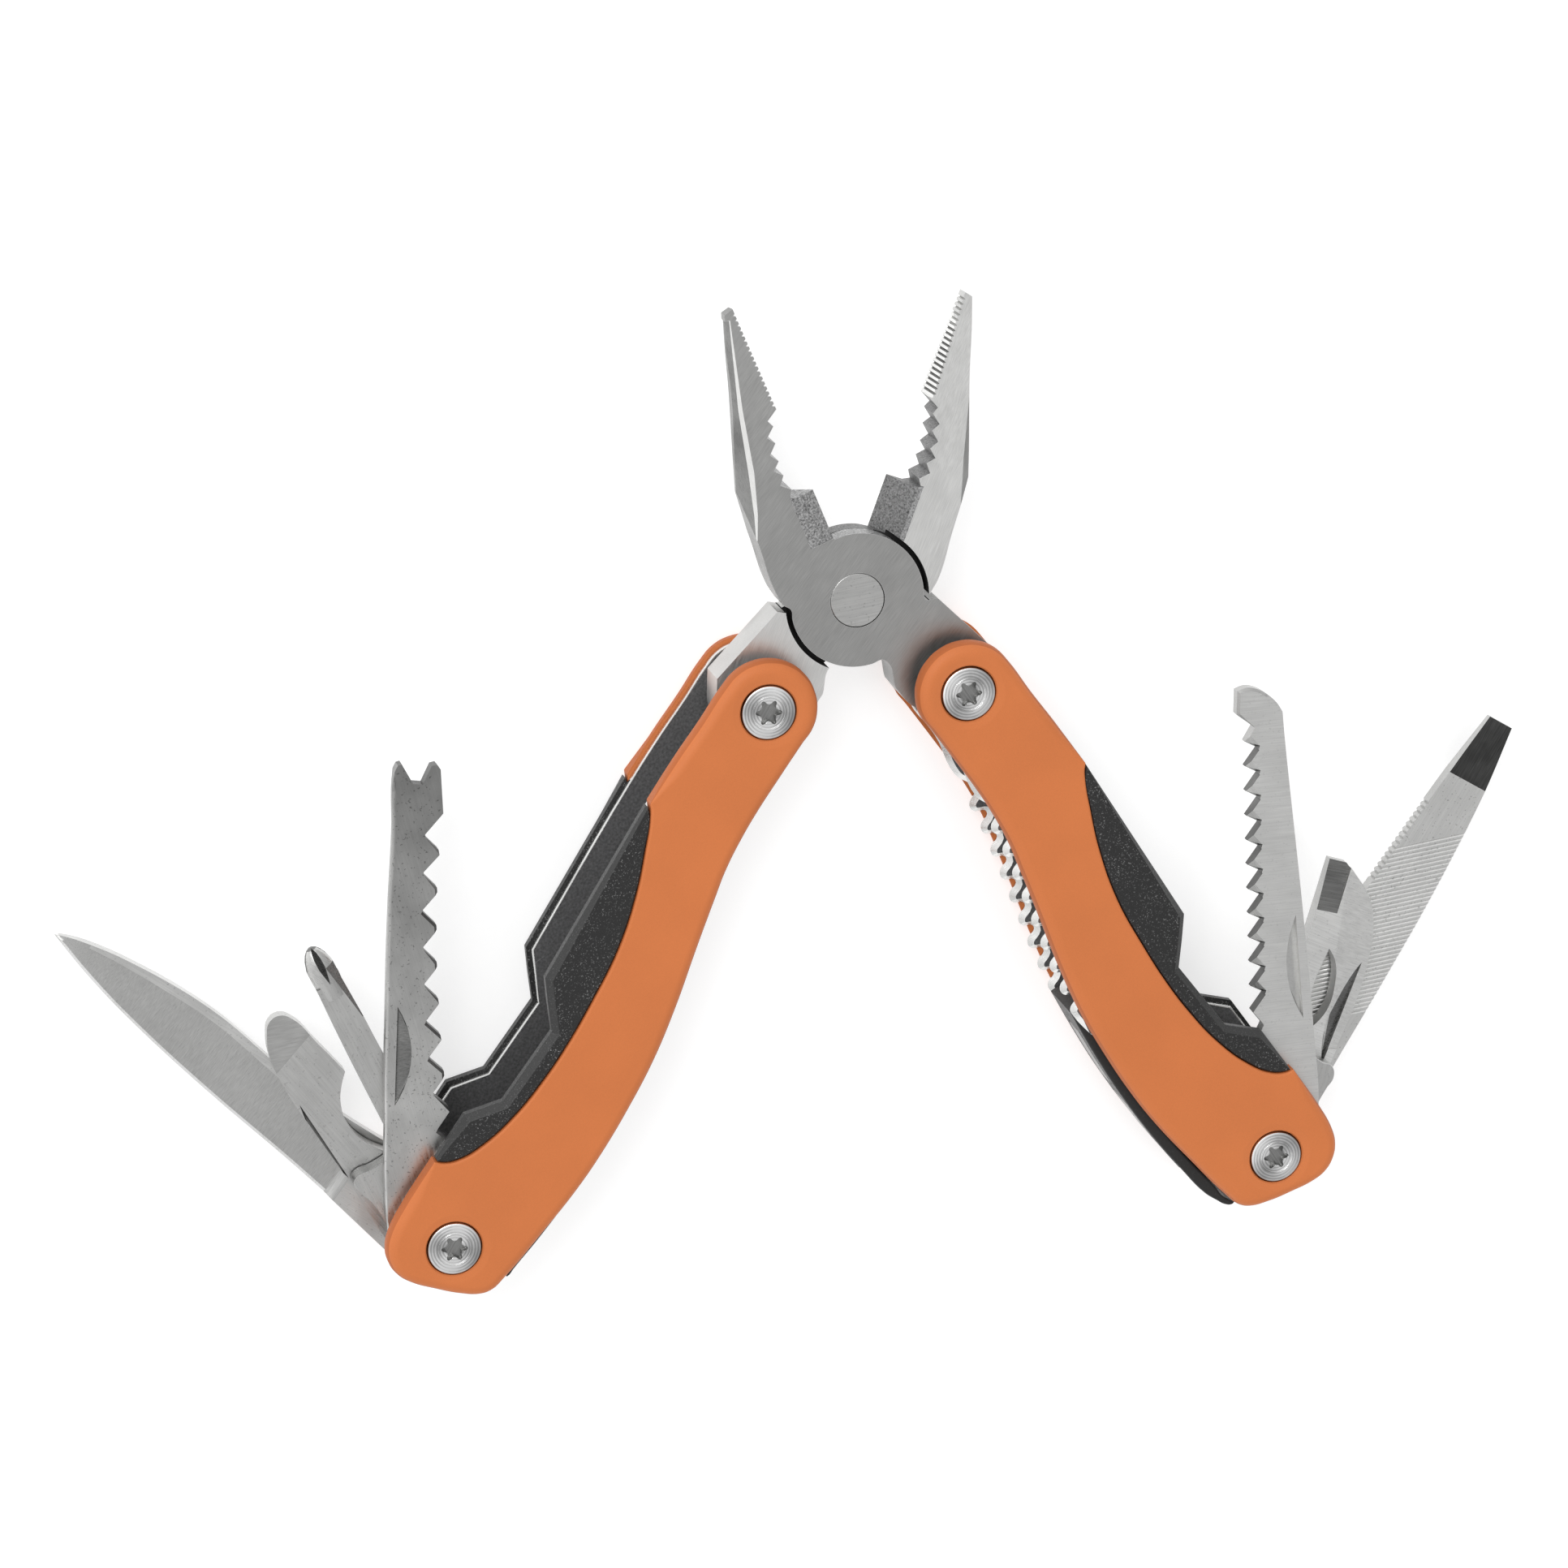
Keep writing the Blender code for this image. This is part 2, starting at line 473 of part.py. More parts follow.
def build_tool(name, loops, layer, opened, side, tail, finish, parts):
    """opened is the angle between the tool and the closed handle."""
    holes = [circle(0, 0, POST_HOLE)]
    tool = flat(name, loops + holes, LAYERS[layer], side)
    tool.rotation_euler.z = math.radians(180 - side * opened)
    place(tool, parts, tail, finish)


def build_handle(hand, pivot, finishes, parts, cutters):
    side = SIDES[hand]
    handle = empty(hand + "_handle_axis", parts, pivot, (*HANDLE_PIN[hand], 0), HANDLE_ANGLE[hand])
    tail = empty(hand + "_tool_axis", parts, handle, (HANDLE_PITCH, 0, 0))
    build_shells(hand, side, handle, finishes, parts, cutters)
    build_spring(hand, side, handle, finishes, parts, cutters)
    build_pin(hand + "_head", 0, handle, finishes, parts, cutters)
    build_pin(hand + "_tail", HANDLE_PITCH, handle, finishes, parts, cutters)
    for i, z in enumerate(LAYER_SPLITS):
        ring = [circle(0, 0, TOOL_WASHER_RADIUS), circle(0, 0, POST_HOLE)]
        middle = (z - WASHER_THICKNESS / 2, z + WASHER_THICKNESS / 2)
        place(flat(f"{hand}_tool_washer_{i + 1}", ring, middle), parts, tail, finishes["bronze"])
    return tail


def main():
    clear_scene()
    parts, cutters = collection("multi_tool"), collection("cutters")
    finishes = {
        "orange": material("orange_grip", (0.68, 0.21, 0.066), 0.5, 0.0),
        "black": material("black_plastic", (0.035, 0.035, 0.036), 0.45, 0.0),
        "blackened": material("blackened_steel", (0.06, 0.06, 0.062), 0.4, 0.8),
        "brushed": material("brushed_steel", (0.5, 0.5, 0.49), 0.36, 1.0),
        "blade": material("blade_steel", (0.56, 0.56, 0.55), 0.32, 1.0),
        "polished": material("polished_steel", (0.6, 0.6, 0.59), 0.25, 1.0),
        "bronze": material("washer_bronze", (0.55, 0.4, 0.2), 0.35, 1.0),
    }
    pivot = empty("plier_axis", parts, None, PIVOT)
    build_head(pivot, finishes, parts, cutters)
    tails = {hand: build_handle(hand, pivot, finishes, parts, cutters) for hand in SIDES}
    blade = finishes["blade"]
    tools = (
        ("left", "fish_scaler", [scaler_outline()], 1, 35.0),
        ("left", "phillips_driver", [PHILLIPS], 2, 55.25),
        ("left", "can_opener", [CAN_OPENER], 3, 68.25),
        ("left", "knife_blade", [KNIFE], 4, 84.25),
        ("right", "wood_saw", [saw_outline()], 1, 31.25),
        ("right", "lanyard_plate", [LANYARD, circle(*LANYARD_HOLE)], 2, 48.75),
        ("right", "bottle_opener", [OPENER, OPENER_HOLE], 3, 48.75),
        ("right", "file_driver", [FILE], 4, 63.75),
    )
    for hand, name, loops, layer, opened in tools:
        build_tool(name, loops, layer, opened, SIDES[hand], tails[hand], blade, parts)


main()
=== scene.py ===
"""The looks of the pocket multi tool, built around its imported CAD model.

Pieces are modelled in millimetres in the frame of the part they belong to, and go into place at the
joint positions and heights of the CAD model. The frames are:
- plier halves: the plier pivot is the origin and the gripping edge runs along +Y
- handles: the head pin is the origin, x runs to the tail pin and y to the open, outer side
- tools: the tail pin is the origin, x runs to the tip and y to the handle's inner side when closed
"""
import json
import math

import bmesh
import bpy
import numpy as np
from mathutils import Matrix, Vector


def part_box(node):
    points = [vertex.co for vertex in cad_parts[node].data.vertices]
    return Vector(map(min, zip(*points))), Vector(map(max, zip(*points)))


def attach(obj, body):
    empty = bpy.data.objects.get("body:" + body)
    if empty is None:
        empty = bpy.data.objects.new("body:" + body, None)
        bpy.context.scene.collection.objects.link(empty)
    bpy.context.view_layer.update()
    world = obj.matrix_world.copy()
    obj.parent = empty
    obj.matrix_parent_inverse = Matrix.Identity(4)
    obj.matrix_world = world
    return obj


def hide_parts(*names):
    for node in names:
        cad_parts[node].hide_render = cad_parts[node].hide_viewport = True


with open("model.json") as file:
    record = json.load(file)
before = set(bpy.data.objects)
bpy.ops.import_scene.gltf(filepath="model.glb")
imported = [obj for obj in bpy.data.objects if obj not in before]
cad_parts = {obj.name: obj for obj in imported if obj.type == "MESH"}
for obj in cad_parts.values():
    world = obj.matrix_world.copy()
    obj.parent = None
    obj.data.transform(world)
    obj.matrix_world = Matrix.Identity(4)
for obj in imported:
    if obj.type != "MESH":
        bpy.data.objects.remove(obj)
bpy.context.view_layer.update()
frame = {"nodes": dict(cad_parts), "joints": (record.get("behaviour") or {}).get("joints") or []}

MM = 0.001
SHARP = True  # third value of an outline point that is a corner; the other points are smooth
HANDS = {"left": -1, "right": 1}     # side of each handle; it mirrors y in its frame and its tools'
PINS = {j["name"]: Vector(j["pos_m"]) for j in frame["joints"]}
PIVOT = PINS["pliers_pivot"]
TAIL_PINS = {"left": PINS["fish_scaler_pivot"], "right": PINS["wood_saw_pivot"]}


def heights(node):
    """The lowest and highest z of a CAD node, in mm from the middle of the tool's thickness."""
    low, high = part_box(node)
    return ((low.z - PIVOT.z) / MM, (high.z - PIVOT.z) / MM)


# --- outlines (mm)
# each handle
HEAD_RADIUS = 7.7
HEAD_ARC = (-75, -270, 10)      # degrees, from the inner edge round the head to the outer edge, points
POST_HOLE = 2.6
INNER_EDGE = [(8.5, -7.05), (13.5, -6.8), (18.5, -6.8), (24, -7.2), (28, -7.9), (36, -9.4),
              (46, -11.4), (54.5, -12.6), (62, -13.0), (70, -13.0), (77, -12.5), (85.5, -11.2)]
TAIL = [(91, 10.1), (95.4, 9.8), (97.7, 9.0), (99.5, 7.5), (100.6, 5.4), (100.8, 3.0), (100.1, -1.0),
        (99.1, -4.9), (97.9, -7.6), (96.5, -8.9), (94.2, -9.6)]
HEAD_TO_INSERT = [(6, 8.0), (12.5, 8.5), (20.0, 8.8, SHARP)]
INSERT_CURVE = [(21.5, 7.8), (27, 5.5), (33, 3.4), (41.5, 1.5), (50, 0.9), (58, 0.8), (64, 1.2),
                (70.5, 2.2), (77, 4.3), (80.6, 6.5), (82.0, 8.4)]
INSERT_END = (82.3, 9.7, SHARP)
SCALE_RIM = {"corner": 0.2, "narrow": 0.45, "wide": 1.8, "rise": 6}
INSERT_RIM = [(20.6, 8.85, SHARP), (50.4, 8.85, SHARP), (53.6, 6.5, SHARP), (57.2, 3.7, SHARP),
              (69.8, 4.8, SHARP), (74.2, 8.95, SHARP), (82.1, 9.4, SHARP)]
INSERT_GAP = 0.12
LINER_OUTER = [(6, 7.4), (12.5, 7.9), (20, 8.2), (50.1, 8.2, SHARP), (53.2, 5.9, SHARP),
               (57.0, 3.1, SHARP), (70.0, 4.2, SHARP), (74.5, 8.3, SHARP), (86, 9.1)]
LINER_INSET = 0.6
LINER_HEAD = [(15.5, -7.3), (8.5, -6.5), (2.5, -7.0)]
SCALLOPS = {"first": 19.6, "pitch": 4.05, "count": 9, "gullet": 0.75, "crest_half": 0.6}
CRESTS = {"left": -0.35, "right": -1.0}   # how far the scallops stand out of the inner edge
SCALLOPS_END = 57.0
SPINE_LINE = [(54, -13.3), (62, -13.8), (70, -13.95), (80, -13.45), (87, -12.6), (93, -11.6)]
SPINE_END = {"left": [(94.0, -11.1), (94.5, -10.9, SHARP), (94.2, -10.4, SHARP)],
             "right": [(95.2, -11.1), (96.6, -10.4), (97.3, -9.5), (97.2, -8.9, SHARP), (95.2, -9.9)]}
SPINE_LIFT = {"left": 0.4, "right": -0.4}   # how far the spine is set into the handle
SPINE_THICKNESS = 1.5
SPINE_WINDOWS = [(58.5, 69.5, 2.6), (73.0, 81.0, 3.6), (83.0, 88.0, 3.6)]    # from, to, half height

# screw heads, barrels and their seats, as (radius, height) from the middle of the tool's thickness
HEAD_TOP, HEAD_FOOT = 8.85, 7.55
SCREW_SEAT = [(0, 10), (5.8, 10), (5.65, 8.9), (5.3, 8.84), (4.45, 8.72), (4.25, 8.5), (4.25, 7.45),
              (POST_HOLE, 7.45), (POST_HOLE, 5), (0, 5)]
SCREW = [(0, HEAD_TOP - 0.08), (2.35, HEAD_TOP - 0.08), (2.4, HEAD_TOP - 0.2), (2.5, HEAD_TOP - 0.2),
         (2.6, HEAD_TOP), (3.72, HEAD_TOP), (3.98, HEAD_TOP - 0.12), (4.1, HEAD_TOP - 0.4), (4.1, HEAD_FOOT),
         (1.4, HEAD_FOOT), (1.4, -1), (0, -1)]
STAR = [(2.0, 0), (1.9, 7), (1.3, 23), (1.3, 37), (1.9, 53)]    # radius, degrees; six times around
STAR_DEPTH = 0.9
BARREL = [(0, -2), (1.5, -2), (1.5, 7.4), (2.5, 7.4), (2.5, -HEAD_FOOT), (4.1, -HEAD_FOOT),
          (4.1, -HEAD_TOP + 0.35), (4.05, -HEAD_TOP + 0.15), (3.8, -HEAD_TOP), (1.2, -HEAD_TOP),
          (0.6, -HEAD_TOP + 0.25), (0, -HEAD_TOP + 0.3)]

# each plier half
TANG_ANGLE = -64.2
TANG_REACH = 20.85
DISC_RADIUS = 10.15
POCKET_RADIUS = 10.95
HEAD_HALF = 3.0
JAW_LENGTH = 47.8
JAW_TAPER_START = 22.0
JAW_TIP_HALF = 0.95
RIVET_RADIUS = 4.1
RIVET_GAP = 0.05
JAW_OUTER = [(-10.35, 4.15, SHARP), (-10.75, 6.7), (-10.3, 14.0), (-9.95, 22.2, SHARP), (-8.5, 26.4),
             (-5.1, 36.0), (-3.0, 43.0), (-1.5, 47.5, SHARP), (0.0, JAW_LENGTH, SHARP)]
COARSE_TEETH = [(31.7, 0.0), (29.6, 1.4), (27.2, 2.1), (24.6, 2.7), (22.4, 2.9), (19.9, 2.6)]
COARSE_TOOTH_DEPTH = 1.15
RIBS = {"first": 32.4, "pitch": 0.8, "count": 19, "depth": 0.38}
CUTTER = [(-3.3, 18.8, SHARP), (-2.2, 18.3, SHARP), (0.35, 18.3, SHARP), (0.35, 10.1, SHARP)]
TANG_TOP = [(8.1, 6.5), (9.4, 7.8, SHARP), (22.6, 7.3, SHARP)]
TANG_END_RADIUS = 6.5
TANG_END_ARC = (52, -100, 9)
DISC_ARCS = ((78, -20, 14), (-100, -198, 12))   # before the tang and after it
TANG_BOTTOM = [(17.2, -6.9), (13.6, -6.4, SHARP), (9.4, -4.3)]
JAW_FACET = [(46.4, 1.2, 0.15), (33.7, 5.2, 0.6), (24.6, 7.5, 0.8), (18.5, 9.2, 0.5),
             (15.0, 10.4, 0.2)]     # along the jaw, across, width of the bright strip
FACET_FALL = (4.0, 2.0)             # how far a cutter's floor runs out, and down
WALL_FALL = (2.4, 3.0)
FACET_ROUNDING = 0.9                # how much further out the back jaw's rim starts
GRIP_LEAN = [(31.75, 0.6), (JAW_LENGTH + 1, 0.2)]   # along the jaw, how far the grip face leans back
DISC_GAP = 0.05                     # between the two halves' discs, at the middle height
WIRE_CUTTER_SPAN = (10.3, 19.0)
WIRE_CUTTER_WALLS = {1: [(3.4, 3.0), (-0.35, 2.3), (2.4, -2.5), (3.7, -3.0)],
                     -1: [(3.7, 3.0), (3.1, 2.6), (-0.35, -3.0)]}   # across, height; by the half's own

# the tools
KNIFE_SPINE = [(15, 5.85), (22, 5.9), (28, 6.2), (38, 7.7), (45.5, 8.9), (53, 9.35), (60.5, 9.1),
               (68.5, 8.2), (72.4, 7.3), (74.6, 6.5)]
KNIFE_EDGE = [(15, -6.1), (25.3, -4.3), (39.6, -2.1), (54.2, 0.6), (62, 2.4), (69.8, 4.7), (72.4, 5.6),
              (74.6, 6.4)]
KNIFE_TANG = [(15.6, 5.86, SHARP), (8, 6.3), (2.5, 6.6), (-3.5, 5.4), (-6.6, 0), (-5.4, -4.6),
              (-1.5, -7.6), (4.0, -8.4, SHARP), (15.6, -6.0, SHARP)]
KNIFE_GRIND = (15.6, 1.6)           # where the grind starts and over what length it sinks in
KNIFE_STATIONS = [(15, 20, 11), (20.7, 72.3, 70), (72.7, 74.6, 8)]      # from, to, how many
CAN_OPENER = [(42.9, 0.8), (42.7, 2.6), (41.0, 3.7), (36, 4.1), (29.5, 4.4, SHARP), (28.2, 2.7),
              (26.2, 0.9), (22.8, -0.5), (19.5, -0.5), (15.5, 1.0), (11, 3.8), (5.5, 5.8), (0, 6.4),
              (-4.6, 4.4), (-6.4, 0), (-5.0, -4.4), (0, -7.6), (6.5, -7.4), (14.9, -6.1), (25, -5.0),
              (33.9, -3.9), (38.5, -2.6), (41.4, -0.9)]
PHILLIPS = [(44.3, 3.5, SHARP), (37, 3.8, SHARP), (29.9, 3.9), (19, 4.6), (9, 6.0), (2, 6.4), (-4.0, 5.0),
            (-6.4, 0), (-5.0, -4.4), (0, -7.2), (7.8, -7.4), (10.1, -7.7), (12.4, -8.5), (14.2, -8.9),
            (15.0, -8.2), (15.0, -5.0), (15.6, -2.2), (18.0, -0.9, SHARP), (31.3, -0.9),
            (37.6, -0.8, SHARP), (44.3, -0.6, SHARP)]
PHILLIPS_TIP = [(42.0, 1.8), (45.0, 1.88), (47.2, 1.9), (48.6, 1.55), (49.5, 1.15), (50.1, 0.7), (50.4, 0.3),
                (50.45, 0.0)]
PHILLIPS_TIP_WIDEN = 1.13
SCALER_BACK = [(3, 6.4), (-3.6, 5.2), (-6.4, 0), (-5.6, -4.6), (-2.0, -8.0), (4.3, -9.0), (20.9, -8.0),
               (37.3, -6.4), (53.5, -4.5), (64.2, -3.0), (73.7, -1.9), (74.8, -1.3, SHARP)]
SCALER_FORK = [(74.9, -0.7, SHARP), (71.7, 0.7, SHARP), (71.4, 2.1, SHARP), (74.0, 3.6, SHARP),
               (74.1, 4.4, SHARP), (73.3, 4.9, SHARP), (66.6, 4.7, SHARP)]
SCALER_TEETH = {"first": 60.7, "pitch": 5.72, "count": 9}
SCALER_LINE = (30.0, 30.7)          # tips and gullets lie on low + rise * ((x - start) / run) ** 2
SCALER_TIPS = (1.4, 2.2, 0.35)      # low, rise, half width of the flat
SCALER_GULLETS = (-0.55, 1.95, 0.25)
SAW_BACK = [(12, 4.6), (3, 6.2), (-3.6, 5.2), (-6.4, 0), (-5.4, -4.6), (-1.5, -7.4), (5.1, -8.2),
            (19.1, -7.3), (36, -5.7), (67.1, -2.3), (70.7, -2.0, SHARP), (72.3, -1.0), (73.6, 0.4),
            (74.6, 2.1), (74.9, 3.6), (74.5, 5.1, SHARP), (70.8, 5.2, SHARP), (68.6, 2.4, SHARP)]
SAW_TEETH = {"first": 66.3, "pitch": 3.95, "count": 12, "rise": 2.65, "depth": 2.0}
SAW_TIP_LINE = [(22.0, 2.5), (66.0, 3.8)]
SAW_HEEL = (20.6, 0.8, SHARP)
# nail nicks: two ends of the deep wall, how far the floor bulges out of it, depth
NICKS = {"scaler": ((38.0, -4.6), (22.6, -6.4), -2.3, 0.7), "can": ((30.0, -3.9), (15.9, -5.7), 0.9, 0.6),
         "saw": ((37.9, -4.3), (21.0, -5.6), -2.1, 0.7), "opener": ((30.7, -8.5), (13.4, -6.9), -2.2, 0.8)}
OPENER = [(45.8, 1.8, SHARP), (45.7, -1.1, SHARP), (43.9, -3.4), (41.5, -6.1), (36.7, -8.6),
          (31.2, -9.5), (25.5, -9.6), (15.9, -8.5), (9, -7.8), (0, -7.4), (-5.2, -4.4), (-6.4, 0),
          (-4.4, 4.6), (0.5, 6.2), (7, 5.2), (15, 3.0), (24.8, 2.1), (36, 1.8)]
OPENER_HOLE = [(32.0, -2.2, SHARP), (30.3, -3.8), (26.5, -5.0), (22.0, -4.9), (18.2, -2.8, SHARP),
               (25.0, -1.5)]
FILE_BACK = [(74.7, 1.2, SHARP), (74.7, -3.1, SHARP), (63.7, -4.6), (46.5, -6.0), (30, -6.5), (14.2, -6.7),
             (5, -7.0), (-2.5, -6.4), (-6.2, -2.2), (-5.6, 3.2), (-1.5, 6.2), (6, 5.9), (16, 5.4),
             (30, 5.0)]
FILE_EDGE = [(43.0, 4.3), (53.0, 3.5), (63.5, 2.55)]
FILE_NOTCHES = {"first": 44.0, "pitch": 0.95, "count": 16, "depth": 0.28, "half": 0.32}
FILE_CUTS = {"first": 20.0, "pitch": 0.88, "count": 38, "depth": 0.12, "half": 0.26, "lean": -6.4}
FILE_TIP_START = 64.2
LANYARD = [(16.6, 0.5), (15.6, 3.6), (12, 5.4), (6, 6.2), (0, 6.4), (-4.6, 4.4), (-6.4, 0), (-5.0, -4.4),
           (0, -6.8), (7.5, -6.9), (10.6, -7.6), (12.6, -8.2), (14.3, -7.4), (14.8, -5.2), (16.2, -2.4)]
LANYARD_HOLE = (10.6, -0.6, 2.7)


def circle(x, y, radius, count=48):
    steps = (2 * math.pi * i / count for i in range(count))
    return [(x + radius * math.cos(a), y + radius * math.sin(a), SHARP) for a in steps]


def arc(radius, start, stop, count, centre=(0.0, 0.0)):
    angles = np.radians(np.linspace(start, stop, count))
    return [(centre[0] + radius * math.cos(a), centre[1] + radius * math.sin(a)) for a in angles]


def edge_at(line, u):
    return float(np.interp(u, [p[0] for p in line], [p[1] for p in line]))


def scale_outline():
    head = arc(HEAD_RADIUS, *HEAD_ARC)
    return head + HEAD_TO_INSERT + INSERT_CURVE + [INSERT_END] + TAIL + INNER_EDGE[::-1]


def insert_outline():
    return INSERT_RIM + [(u - INSERT_GAP / 2, v + INSERT_GAP) for u, v in INSERT_CURVE[::-1]]


def liner_outline(hand):
    inset = LINER_INSET
    tail = [(u - inset, v - inset if v > 0 else v + inset) for u, v in TAIL]
    inner = [(u, v + inset) for u, v in INNER_EDGE if u > SCALLOPS_END][::-1]
    for i in reversed(range(SCALLOPS["count"])):
        gullet = SCALLOPS["first"] + i * SCALLOPS["pitch"]
        crest = gullet + SCALLOPS["pitch"] / 2
        inner += [(crest + w, edge_at(INNER_EDGE, crest + w) + CRESTS[hand])
                  for w in (SCALLOPS["crest_half"], -SCALLOPS["crest_half"])]
        inner.append((gullet, edge_at(INNER_EDGE, gullet) + SCALLOPS["gullet"]))
    return arc(HEAD_RADIUS - inset, *HEAD_ARC) + LINER_OUTER + tail + inner + LINER_HEAD


def spine_outline(hand):
    lift = SPINE_LIFT[hand]
    outer = [(u, v + lift) for u, v in SPINE_LINE]
    inner = [(u, v + SPINE_THICKNESS) for u, v in SPINE_LINE][::-1]
    return [outer[0] + (SHARP,)] + outer[1:] + SPINE_END[hand] + inner[:-1] + [inner[-1] + (SHARP,)]


def plier_outline():
    """One plier half, with the tang at the right and the coarse teeth."""
    c, s = math.cos(math.radians(TANG_ANGLE)), math.sin(math.radians(TANG_ANGLE))
    end = arc(TANG_END_RADIUS, *TANG_END_ARC, centre=(TANG_REACH, 0.0))
    tang = [(x * c - y * s, x * s + y * c, *sharp) for x, y, *sharp in TANG_TOP + end + TANG_BOTTOM]
    teeth = []
    for (near, low), (far, high) in zip(COARSE_TEETH, COARSE_TEETH[1:]):
        gullet = (-(low + high) / 2 - COARSE_TOOTH_DEPTH, (near + far) / 2, SHARP)
        teeth += [(-low, near, SHARP), gullet]
    teeth += [(-COARSE_TEETH[-1][1], COARSE_TEETH[-1][0], SHARP), *CUTTER]
    near, far = (arc(DISC_RADIUS, *stretch) for stretch in DISC_ARCS)
    return near + tang + far + JAW_OUTER + teeth


def scaler_outline():
    teeth, (start, run) = [], SCALER_LINE
    for i in range(SCALER_TEETH["count"]):
        tip = SCALER_TEETH["first"] - i * SCALER_TEETH["pitch"]
        for x, (low, rise, flat) in ((tip + SCALER_TEETH["pitch"] / 2, SCALER_GULLETS), (tip, SCALER_TIPS)):
            y = low + rise * ((x - start) / run) ** 2
            teeth += [(x + flat, y, SHARP), (x - flat, y, SHARP)]
    return SCALER_BACK + SCALER_FORK + teeth


def saw_points():
    """Tips and gullets of the saw's teeth, from the tip of the saw to its heel."""
    tips, gullets = [], []
    for i in range(SAW_TEETH["count"]):
        x = SAW_TEETH["first"] - i * SAW_TEETH["pitch"]
        y = edge_at(SAW_TIP_LINE, x)
        tips.append((x, y))
        gullets.append((x + SAW_TEETH["rise"], y - SAW_TEETH["depth"]))
    return tips, gullets[1:]


def saw_outline():
    tips, gullets = saw_points()
    teeth = [tips[0] + (SHARP,)]
    for gullet, tip in zip(gullets, tips[1:]):
        teeth += [gullet + (SHARP,), tip + (SHARP,)]
    return SAW_BACK + teeth + [SAW_HEEL]


def file_outline():
    notches, half = [], FILE_NOTCHES["half"]
    for i in range(FILE_NOTCHES["count"]):
        x = FILE_NOTCHES["first"] + i * FILE_NOTCHES["pitch"]
        y = edge_at(FILE_EDGE, x)
        notches += [(x - half, y, SHARP), (x, y - FILE_NOTCHES["depth"], SHARP), (x + half, y, SHARP)]
    return FILE_BACK + [FILE_EDGE[0] + (SHARP,)] + notches + [FILE_EDGE[-1]]


# --- modelling helpers
SAME = 0.01         # heights this close are the same height (mm)
WELD = 0.0005       # points this close are one point (mm)
RIM_ANGLE = 0.8     # faces that meet at more than this are a plate's face and its rim (radians)
CUTTER_CLEAR = 8.0  # how far a sloping cutter reaches above its floor (mm)


def plate(loops, z, side=1, steps=8):
    """A closed plate between two heights from outlines: a filled 2D curve, made a mesh."""
    curve = bpy.data.curves.new("outline", "CURVE")
    curve.dimensions = "2D"
    curve.fill_mode = "BOTH"
    curve.extrude = (z[1] - z[0]) / 2
    curve.resolution_u = steps
    for loop in loops:
        spline = curve.splines.new("BEZIER")
        spline.bezier_points.add(len(loop) - 1)
        spline.use_cyclic_u = True
        for knot, point in zip(spline.bezier_points, loop):
            knot.co = (point[0], side * point[1], 0)
            kind = "VECTOR" if len(point) == 3 else "AUTO"
            knot.handle_left_type = knot.handle_right_type = kind
    guide = bpy.data.objects.new("outline", curve)
    bpy.context.scene.collection.objects.link(guide)
    view = bpy.context.evaluated_depsgraph_get()
    mesh = bpy.data.meshes.new_from_object(guide.evaluated_get(view))
    bpy.data.objects.remove(guide)
    work = bmesh.new()
    work.from_mesh(mesh)
    bpy.data.meshes.remove(mesh)
    bmesh.ops.remove_doubles(work, verts=work.verts, dist=WELD)
    bmesh.ops.translate(work, verts=work.verts, vec=(0, 0, (z[0] + z[1]) / 2))
    bmesh.ops.dissolve_limit(work, angle_limit=0.001, verts=work.verts, edges=work.edges,
                             delimit={"NORMAL"})
    bmesh.ops.recalc_face_normals(work, faces=work.faces)
    return work


def soften(work, level, width, segments, where=lambda x, y: True):
    """Rounds the rim of a plate's face at a height, or the stretches of it that where(x, y) picks."""
    def wanted(edge):
        return where(*((edge.verts[0].co + edge.verts[1].co) / 2).xy)
    rim = [e for e in work.edges if all(abs(v.co.z - level) < SAME for v in e.verts)
           and len(e.link_faces) == 2 and e.calc_face_angle() > RIM_ANGLE and wanted(e)]
    bmesh.ops.bevel(work, geom=rim, offset=width, segments=segments, profile=0.5, affect="EDGES",
                    clamp_overlap=False)


def skinned(work, rings):
    """Closes rings of vertices into a solid."""
    for a, b in zip(rings, rings[1:]):
        for i in range(len(a)):
            j = (i + 1) % len(a)
            work.faces.new((a[i], a[j], b[j], b[i]))
    work.faces.new(rings[0])
    work.faces.new(rings[-1][::-1])
    bmesh.ops.recalc_face_normals(work, faces=work.faces)
    return work


def rounded_plate(edge, widths, top, base, steps=5):
    """A plate from its outline's points, rounded along the rim at the height top. Each point of the rim
    has its own width."""
    count, face = len(edge), 1 if top > base else -1
    area = sum(a.x * b.y - b.x * a.y for a, b in zip(edge, edge[1:] + edge[:1]))
    inward = []
    for i, point in enumerate(edge):
        before, after = (point - edge[i - 1]).normalized(), (edge[(i + 1) % count] - point).normalized()
        turns = [Vector((-d.y, d.x)) * math.copysign(1, area) for d in (before, after)]
        inward.append((turns[0] + turns[1]) / (1 + turns[0].dot(turns[1])))
    work = bmesh.new()
    rings = [[work.verts.new((*p, base)) for p in edge]]
    for step in range(steps + 1):
        bend = math.radians(90 * step / steps)
        across, drop = 1 - math.cos(bend), face * (1 - math.sin(bend))
        rings.append([work.verts.new((*(p + n * w * across), top - w * drop))
                      for p, n, w in zip(edge, inward, widths)])
    return skinned(work, rings)


def hull(points):
    """A convex cutter around points."""
    work = bmesh.new()
    for point in points:
        work.verts.new(point)
    found = bmesh.ops.convex_hull(work, input=work.verts)
    inside = [v for v in found["geom_interior"] if isinstance(v, bmesh.types.BMVert)]
    bmesh.ops.delete(work, geom=inside, context="VERTS")
    bmesh.ops.recalc_face_normals(work, faces=work.faces)
    return work


